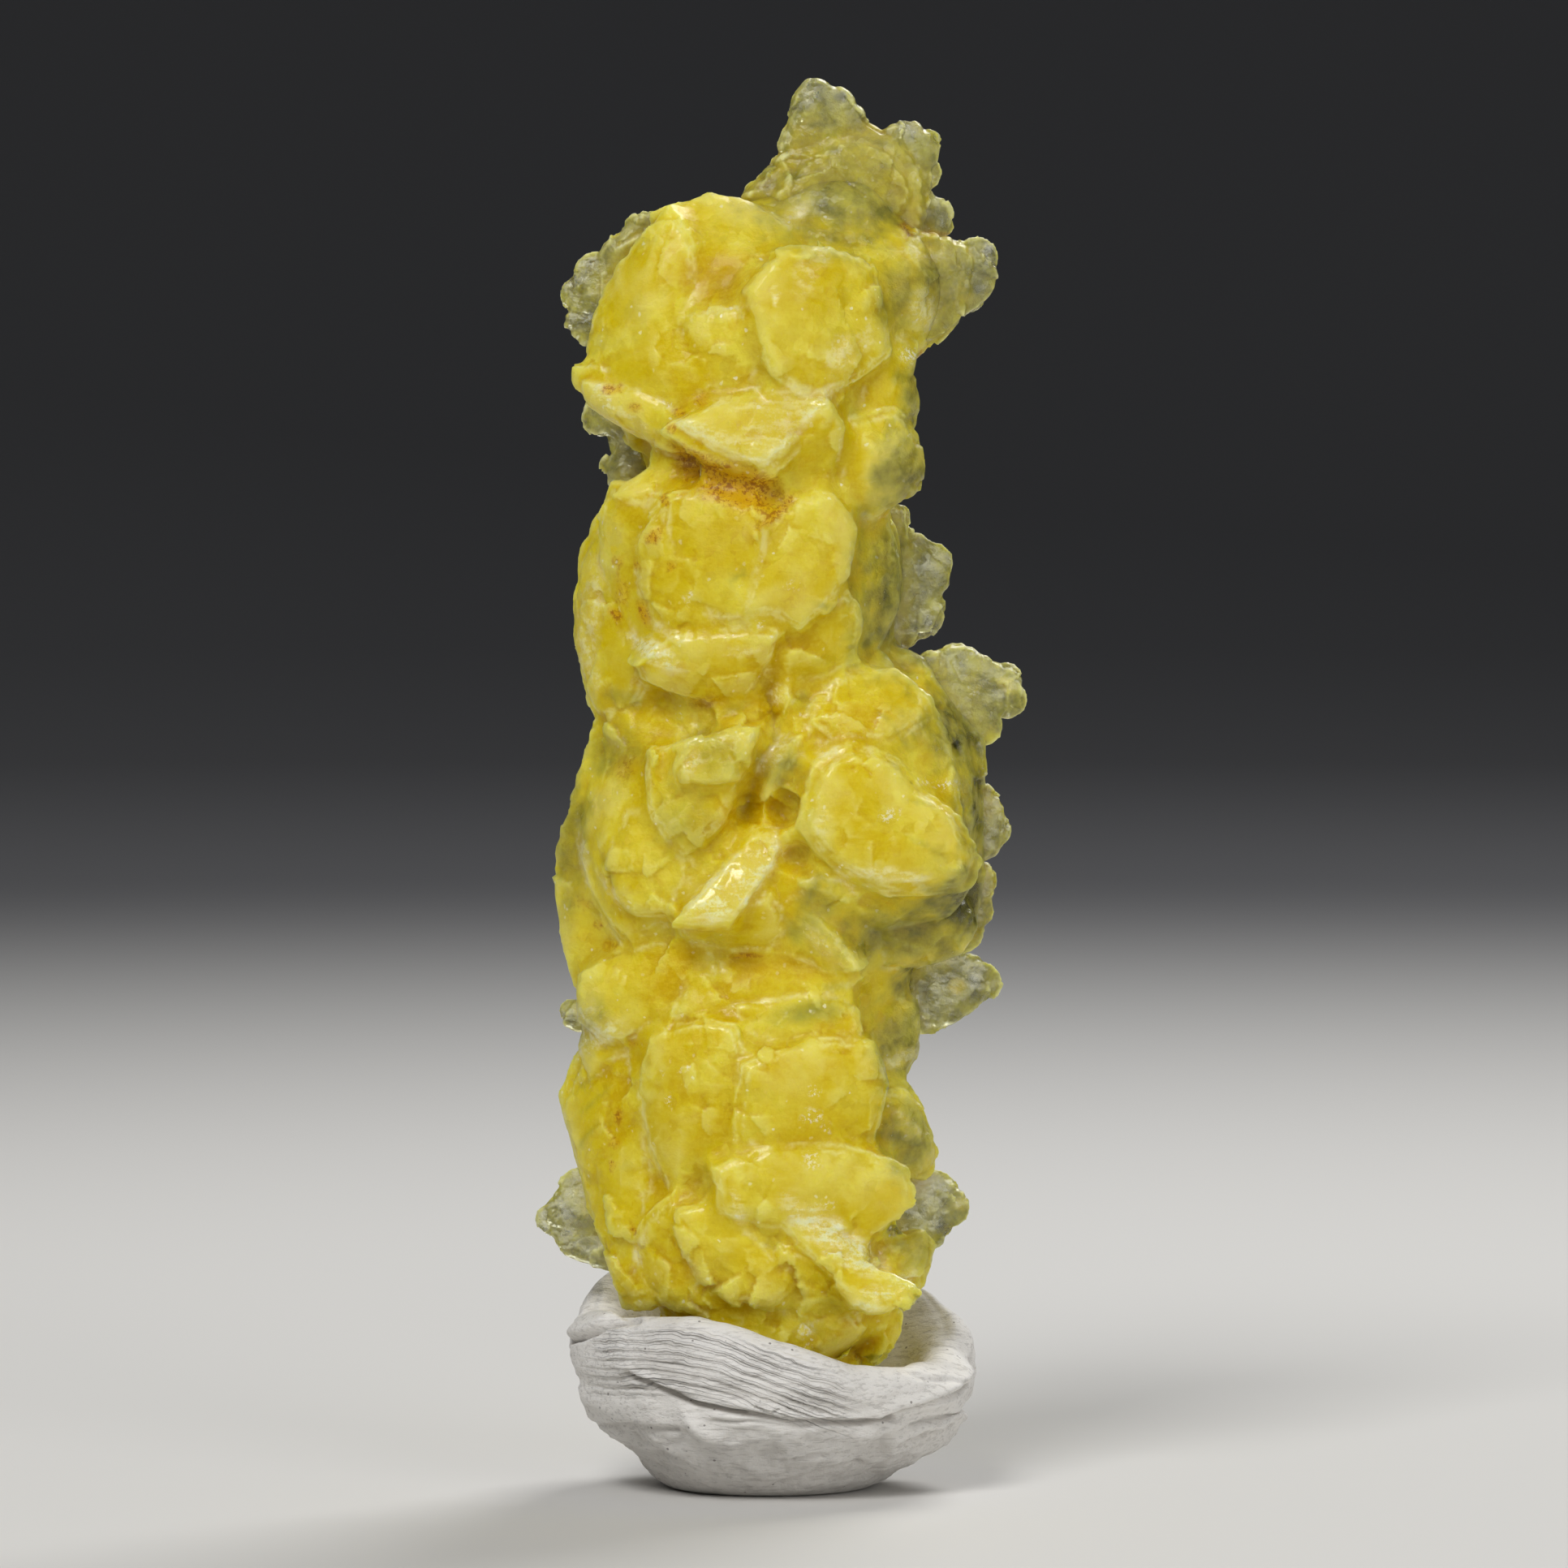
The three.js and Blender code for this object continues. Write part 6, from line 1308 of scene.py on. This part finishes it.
class Paint:
    """One material's nodes, with its colours by name."""

    def __init__(self, name, colours):
        self.colours = {word: colour(*shade) for word, shade in colours.items()}
        self.material = bpy.data.materials.new(name)
        self.material.use_nodes = True
        self.nodes = self.material.node_tree.nodes
        self.links = self.material.node_tree.links
        self.nodes.clear()
        self.end = self.nodes.new("ShaderNodeOutputMaterial")
        self.place = self.node("ShaderNodeTexCoord", output="Object")

    def node(self, kind, settings=None, inputs=None, output=0):
        """Adds a node: its settings first, then the values or links of its sockets."""
        made = self.nodes.new(kind)
        for key, value in (settings or {}).items():
            setattr(made, key, value)
        for key, value in (inputs or {}).items():
            value = getattr(value, "socket", value)
            if isinstance(value, bpy.types.NodeSocket):
                self.links.new(value, made.inputs[key])
            else:
                made.inputs[key].default_value = value
        return Value(self, made.outputs[output])

    def finish(self, surface, inside=None):
        self.links.new(surface.socket, self.end.inputs["Surface"])
        if inside:
            self.links.new(inside.socket, self.end.inputs["Volume"])
        return self.material

    def stored(self, name):
        return self.node("ShaderNodeAttribute", {"attribute_name": name}, output="Fac")

    def between(self, value, low, high):
        """0 where the value is at low, 1 where it is at high, and smooth between."""
        inputs = {"Value": value, "From Min": low, "From Max": high}
        return self.node("ShaderNodeMapRange", {"interpolation_type": "SMOOTHSTEP"}, inputs)

    def cloud(self, size, detail=2.0, roughness=0.5, at=None):
        """Soft noise from 0 to 1 with features of that size in millimetres."""
        return self.node("ShaderNodeTexNoise", None, {
            "Vector": at or self.place, "Scale": 1 / (size * MM), "Detail": detail, "Roughness": roughness,
        })

    def cells(self, size, at=None, output="Distance"):
        """Distance from the middles of cells of that size in millimetres, 0 at a middle."""
        inputs = {"Vector": at or self.place, "Scale": 1 / (size * MM)}
        return self.node("ShaderNodeTexVoronoi", None, inputs, output)

    def vector(self, operation, first, second, third=(0, 0, 0), output="Vector"):
        inputs = {0: first, 1: second, 2: third} if operation == "MULTIPLY_ADD" else {0: first, 1: second}
        return self.node("ShaderNodeVectorMath", {"operation": operation}, inputs, output)

    def wandering(self, size, amount):
        """The place, moved about by soft noise, both in millimetres."""
        inputs = {"Vector": self.place, "Scale": 1 / (size * MM)}
        drift = self.node("ShaderNodeTexNoise", None, inputs, "Color")
        return self.vector("MULTIPLY_ADD", drift, (amount * MM,) * 3, self.place)

    def faces(self, size, at):
        """Small flat faces of that size: height in millimetres, a chance number for each, and distance."""
        middle = self.cells(size, at, "Position")
        chances = Value(self, middle.socket.node.outputs["Color"])
        tilt = self.vector("SUBTRACT", chances, (0.5, 0.5, 0.5))
        height = self.vector("DOT_PRODUCT", self.vector("SUBTRACT", at, middle), tilt, output="Value") / MM
        distance = Value(self, middle.socket.node.outputs["Distance"])
        return height, self.node("ShaderNodeSeparateColor", None, {0: chances}), distance

    def turned(self, turn, size=(1, 1, 1)):
        """The place, turned by degrees round X, Y and Z and stretched."""
        angles = tuple(math.radians(angle) for angle in turn)
        return self.node("ShaderNodeMapping", None, {"Vector": self.place, "Rotation": angles, "Scale": size})

    def blend(self, share, first, second):
        """A colour between two colours, each a socket or the name of one of the paint's colours."""
        first, second = (self.colours[part] if isinstance(part, str) else part for part in (first, second))
        return self.node("ShaderNodeMix", {"data_type": "RGBA"}, {0: share, 6: first, 7: second}, 2)

    def bump(self, height, distance, strength=1.0):
        inputs = {"Height": height, "Distance": distance * MM, "Strength": strength}
        return self.node("ShaderNodeBump", None, inputs)


# Colours of the screen, 0 to 255
BRUCITE = {
    # The darker golds are painted shade for hollows; the pale rim colours are painted highlights along edges;
    # the olive is painted shade where the stone is see-through; the pearl, silk and fleck colours are partly
    # painted highlight
    "body": (222, 198, 12), "hollow_shade": (213, 179, 0), "deepest_shade": (200, 164, 0), "pale": (234, 219, 74),
    "rim": (244, 236, 150), "sheet": (210, 208, 112), "sheet rim": (240, 238, 190),
    "thin": (198, 198, 100), "olive_shade": (142, 142, 60), "pearl": (240, 222, 100),
    "silk_sheen": (255, 250, 196), "pearl rim": (255, 250, 214), "stain": (216, 166, 6),
    "rust": (170, 112, 14), "fleck_and_glint": (252, 246, 210), "clear": (250, 250, 236), "absorbed": (222, 226, 136),
}
PUTTY = {
    # The middle grey is partly painted shade underneath; the groove grey is painted shade
    "clean": (236, 233, 228), "grey_and_shade": (212, 208, 202), "hair": (172, 167, 161),
    "speck": (92, 84, 78), "groove": (140, 135, 130),
}
# Near is the pale floor; far is painted shade, darker away from the part
COVE = {"near": (212, 210, 206), "far": (74, 74, 76)}
BRUCITE_IOR = 1.57


def brucite_paint(name, sheets):
    """Milky lemon stone with golden hollows painted darker as shade, pearly faces painted pale as highlight,
    and clear thin parts; the sheets are clearer.
    """
    paint = Paint(name, BRUCITE)
    mottle = paint.cloud(1.3, 3, 0.6)
    streak = paint.cloud(0.5, 2, 0.6, at=paint.turned((0, 35, 0), (0.25, 1, 1)))
    drifted = paint.wandering(0.9, 0.7)
    facets, facet_chance, facet_middle = paint.faces(0.8, drifted)
    grit = paint.cloud(0.24, 3, 0.7)
    lively = paint.stored("lively")
    window = paint.stored("window")
    pearl = paint.stored("pearl")
    stain = paint.stored("stain")
    sheer = paint.stored("sheer")
    crest = paint.stored("crest")
    rim = paint.stored("rim")
    thickness = paint.stored("thickness")

    grain = (grit - 0.5) * 0.7
    # Painted shade: the stored shade of hollows, with random mottle and grain, and each small face drawn
    # darker on one side
    low = paint.stored("depth") + (mottle - 0.5) * 0.7 + (facet_chance - 0.5) * 0.35 + facets * 1.2 + grain
    body = paint.blend(low.clamped(), "body", "hollow_shade")
    body = paint.blend(paint.between(low, 0.9, 1.9) * 0.6, body, "deepest_shade")
    fibres = ((streak - 0.45) * 0.9).clamped()
    pale = paint.stored("pale") * (0.4 + mottle) + fibres + facet_chance * lively * 0.35 - grain
    body = paint.blend(pale.clamped(), body, "pale")
    # A painted highlight along crests and plate rims
    edge = (crest * 0.35).or_more(rim * paint.between(mottle, 0.4, 0.6) * 0.7)
    body = paint.blend(edge.clamped(), body, "rim")

    # How much of it is clear
    if sheets:
        solid = paint.between(thickness, 1.8, 4.5).or_more(paint.stored("root") * 0.7) * (1 - sheer * 0.5)
        glass = (1 - pearl * 0.5 - solid * 0.5).clamped()
        body = paint.blend(0.85 - solid * 0.7, body, "sheet")
        # A painted highlight on the sheets' crests
        body = paint.blend(crest * 0.6, body, "sheet rim")
        share = (glass * (0.7 + (mottle - 0.5) * 1.4 + window * 0.4 - crest * 0.5)).clamped()
    else:
        thin = paint.between(thickness, 2.2, 0.8)
        glass = (thin.or_more(sheer * (0.4 + mottle)) * (1 - pearl * 0.6)).clamped()
        body = paint.blend(glass * 0.7, body, "thin")
        share = (glass * (0.5 + mottle * 0.9 + window * 0.3 - edge * 0.5)).clamped()

    # Marks
    # Painted olive shade where the stone is see-through
    body = paint.blend((window * (0.2 + mottle * 0.9)).clamped(), body, "olive_shade")
    # Pearly faces painted pale, with silky streaks and pale rims, as painted highlight over their real gloss
    silk_sheen = paint.between(streak * 0.6 + grit * 0.4, 0.44, 0.6)
    body = paint.blend((pearl * (0.6 + mottle * 0.5)).clamped(), body, "pearl")
    body = paint.blend((pearl * silk_sheen * 0.85).clamped(), body, "silk_sheen")
    body = paint.blend((pearl * rim * 0.6).clamped(), body, "pearl rim")
    body = paint.blend((stain * 0.75).clamped(), body, "stain")
    rust = paint.between(grit * 0.6 + mottle * 0.4, 0.49, 0.57) * stain
    body = paint.blend((rust * 0.9).clamped(), body, "rust")
    # Tiny white spots at the middles of some small faces are painted glints; the white grains of the scuffs
    # joined to them are real
    flecks_and_glints = paint.between(facet_middle + grain * 0.3, 0.17, 0.1) * paint.between(facet_chance, 0.58, 0.64)
    grains = (paint.between(grit, 0.5, 0.6) * paint.stored("scuff")).clamped()
    white = (flecks_and_glints * (0.2 + lively * 0.4)).or_more(grains)
    body = paint.blend(white, body, "fleck_and_glint")

    # Relief
    height = mottle * 0.05 + streak * 0.06 + facets * (0.2 + lively * 0.45 + pearl * 0.4).clamped()
    height = height + grit * (0.065 + pearl * 0.09)
    normal = paint.bump(height, 1.0, 0.9)

    milky = paint.node("ShaderNodeBsdfPrincipled", None, {
        "Base Color": body, "Roughness": (0.42 - pearl * 0.18 + (mottle - 0.5) * 0.3).clamped(),
        "IOR": BRUCITE_IOR, "Specular IOR Level": 0.12, "Normal": normal,
        "Subsurface Weight": 1.0, "Subsurface Radius": (1.0, 0.97, 0.15),
        "Subsurface Scale": (1.2 if sheets else 2.2) * MM,
        "Coat Weight": (0.1 + pearl * 0.7 + white * 0.6 + rim * 0.3).clamped(), "Coat Roughness": 0.14,
    })
    clear = paint.node("ShaderNodeBsdfPrincipled", None, {
        "Base Color": paint.colours["clear"], "Roughness": (0.1 + mottle * 0.25).clamped(),
        "IOR": BRUCITE_IOR, "Transmission Weight": 1.0, "Normal": normal,
    })
    absorb = {"Color": paint.colours["absorbed"], "Density": 160.0 if sheets else 190.0}
    return paint.finish(
        paint.node("ShaderNodeMixShader", None, {0: share, 1: milky, 2: clear}),
        paint.node("ShaderNodeVolumeAbsorption", None, absorb),
    )


def putty_paint():
    """Matt warm white, greyer in patches and in the folds, and painted darker underneath as shade, with dark
    specks and drawn-out hair lines.
    """
    paint = Paint("putty", PUTTY)
    big = paint.cloud(4.0, 2)
    fine = paint.cloud(0.3, 4, 0.65)
    hair = paint.cloud(0.22, 3, 0.7, at=paint.turned((0, 8, 0), (0.12, 0.6, 1)))
    rise = paint.node("ShaderNodeSeparateXYZ", None, {0: paint.place}, 2) / MM
    # Greyer towards the bottom, as painted shade; the grey also follows random patches and the pressed-in
    # folds
    under = paint.between(rise + (big - 0.5) * 3.0, 5.2, 0.6)
    grey_and_shade = (big * 0.4 + paint.stored("hollow") * 2.2 + under * 0.8).clamped()
    tone = paint.blend(grey_and_shade, "clean", "grey_and_shade")
    tone = paint.blend(paint.between(hair, 0.5, 0.36) * 0.45, tone, "hair")
    specks = paint.between(paint.cells(1.3), 0.08, 0.05)
    tone = paint.blend(specks * 0.7, tone, "speck")

    # Grooves between the stretch ridges, painted darker as shade
    flow = paint.stored("flow") * (math.pi / RIDGE_PITCH) + paint.cloud(1.6, 3) * 3.0
    wide = paint.between(flow.sine().size(), 0.3, 0.0)
    narrow = paint.between((flow * 2.13).sine().size(), 0.3, 0.0)
    grooves = wide + narrow * 0.7
    stretched = paint.stored("stretched")
    tone = paint.blend((grooves * stretched * 0.5).clamped(), tone, "groove")

    height = fine * (0.6 + under * 0.8) + hair * 1.1 + paint.cloud(0.09, 2) * 0.3 - grooves * stretched * 1.4
    return paint.finish(paint.node("ShaderNodeBsdfPrincipled", None, {
        "Base Color": tone, "Roughness": (0.72 + fine * 0.15).clamped(), "IOR": 1.45,
        "Subsurface Weight": 0.12, "Subsurface Radius": (1.0, 0.9, 0.8), "Subsurface Scale": 0.6 * MM,
        "Normal": paint.bump(height, 0.07, 1.0),
    }))


def cove_paint():
    """Pale where the part stands, and painted darker grey far behind it, as shade."""
    paint = Paint("pale_cove", COVE)
    reach = paint.node("ShaderNodeVectorMath", {"operation": "LENGTH"}, {0: paint.place}, "Value")
    tone = paint.blend(paint.between(reach, 0.12, 0.62), "near", "far")
    return paint.finish(paint.node("ShaderNodeBsdfPrincipled", None, {"Base Color": tone, "Roughness": 0.85}))


def dress(obj, material):
    obj.data.materials.clear()
    obj.data.materials.append(material)
    pick_only(obj)
    bpy.ops.object.shade_smooth()


# The studio

COVE_RADIUS = 0.9
COVE_TURN = 0.9
COVE_STEPS = 10
# Lights: name, place, width in metres and power in watts
LIGHTS = [
    ("key_light", (-0.24, -0.54, 0.62), 0.3, 3.9),
    ("fill_light", (0.5, -0.6, 0.2), 0.4, 1.5),
    ("back_light", (0.25, 0.5, 0.55), 0.35, 3.4),
]
LIGHT_TARGET = Vector((0, 0, 0.045))
AIR = (0.95, 0.97, 1.0, 1)
AIR_LIGHT = 0.22


def studio():
    """A round pale cove: a flat floor that curves up on every side, open above."""
    circle = bpy.ops.mesh.primitive_circle_add
    cove = start_with(circle, "studio_cove", vertices=96, radius=COVE_RADIUS, fill_type="NGON")
    bpy.ops.object.mode_set(mode="EDIT")
    bpy.ops.mesh.select_mode(type="EDGE")
    bpy.ops.mesh.select_all(action="SELECT")
    bpy.ops.mesh.region_to_loop()
    radius, height = COVE_RADIUS, 0.0
    for step in range(1, COVE_STEPS + 1):
        angle = step / COVE_STEPS * math.pi / 2
        next_radius = COVE_RADIUS + COVE_TURN * math.sin(angle)
        next_height = COVE_TURN * (1 - math.cos(angle))
        bpy.ops.mesh.extrude_edges_move(TRANSFORM_OT_translate={"value": (0, 0, next_height - height)})
        grow = next_radius / radius
        bpy.ops.transform.resize(value=(grow, grow, 1), center_override=(0, 0, 0))
        radius, height = next_radius, next_height
    bpy.ops.object.mode_set(mode="OBJECT")
    dress(cove, cove_paint())


def soft_light(name, place, size, power):
    light = bpy.data.lights.new(name, "AREA")
    light.shape = "SQUARE"
    light.size = size
    light.energy = power
    obj = bpy.data.objects.new(name, light)
    bpy.context.collection.objects.link(obj)
    obj.location = place
    aim = LIGHT_TARGET - Vector(place)
    obj.rotation_euler = aim.to_track_quat("-Z", "Y").to_euler()


def lights():
    for row in LIGHTS:
        soft_light(*row)
    world = bpy.data.worlds.new("studio_air")
    bpy.context.scene.world = world
    world.use_nodes = True
    air = world.node_tree.nodes["Background"]
    air.inputs["Color"].default_value = AIR
    air.inputs["Strength"].default_value = AIR_LIGHT


def camera():
    """Looks at the object as the photograph does: a millimetre is PIXELS_PER_MM of its pixels."""
    middle = FRAME_PIXELS / 2
    x = (middle - PHOTO_MIDDLE_COLUMN) / PIXELS_PER_MM
    z = (PHOTO_FLOOR_ROW - middle) / PIXELS_PER_MM / math.cos(CAMERA_RISE)
    look = Vector((0, math.cos(CAMERA_RISE), -math.sin(CAMERA_RISE)))
    data = bpy.data.cameras.new("camera")
    data.sensor_width = SENSOR_WIDTH
    data.lens = SENSOR_WIDTH * CAMERA_DISTANCE / (FRAME_PIXELS / PIXELS_PER_MM * MM)
    data.clip_start = 0.01
    obj = bpy.data.objects.new("camera", data)
    bpy.context.collection.objects.link(obj)
    obj.location = Vector((x, 0, z)) * MM - look * CAMERA_DISTANCE
    obj.rotation_euler = look.to_track_quat("-Z", "Y").to_euler()
    bpy.context.scene.camera = obj


# Making it

camera()
lights()
studio()
bpy.context.scene.view_settings.view_transform = "Standard"

pieces = brucite_pieces()
measure_surface(pieces)
body_paint = brucite_paint("brucite_body", sheets=False)
sheet_paint = brucite_paint("brucite_sheets", sheets=True)
for piece in pieces:
    dress(piece, body_paint if piece is pieces[0] else sheet_paint)
    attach(piece, "root")
    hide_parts("brucite_cluster")

putty = putty_bowl()
knead(putty)
dress(putty, putty_paint())
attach(putty, "root")
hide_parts("mounting_putty")
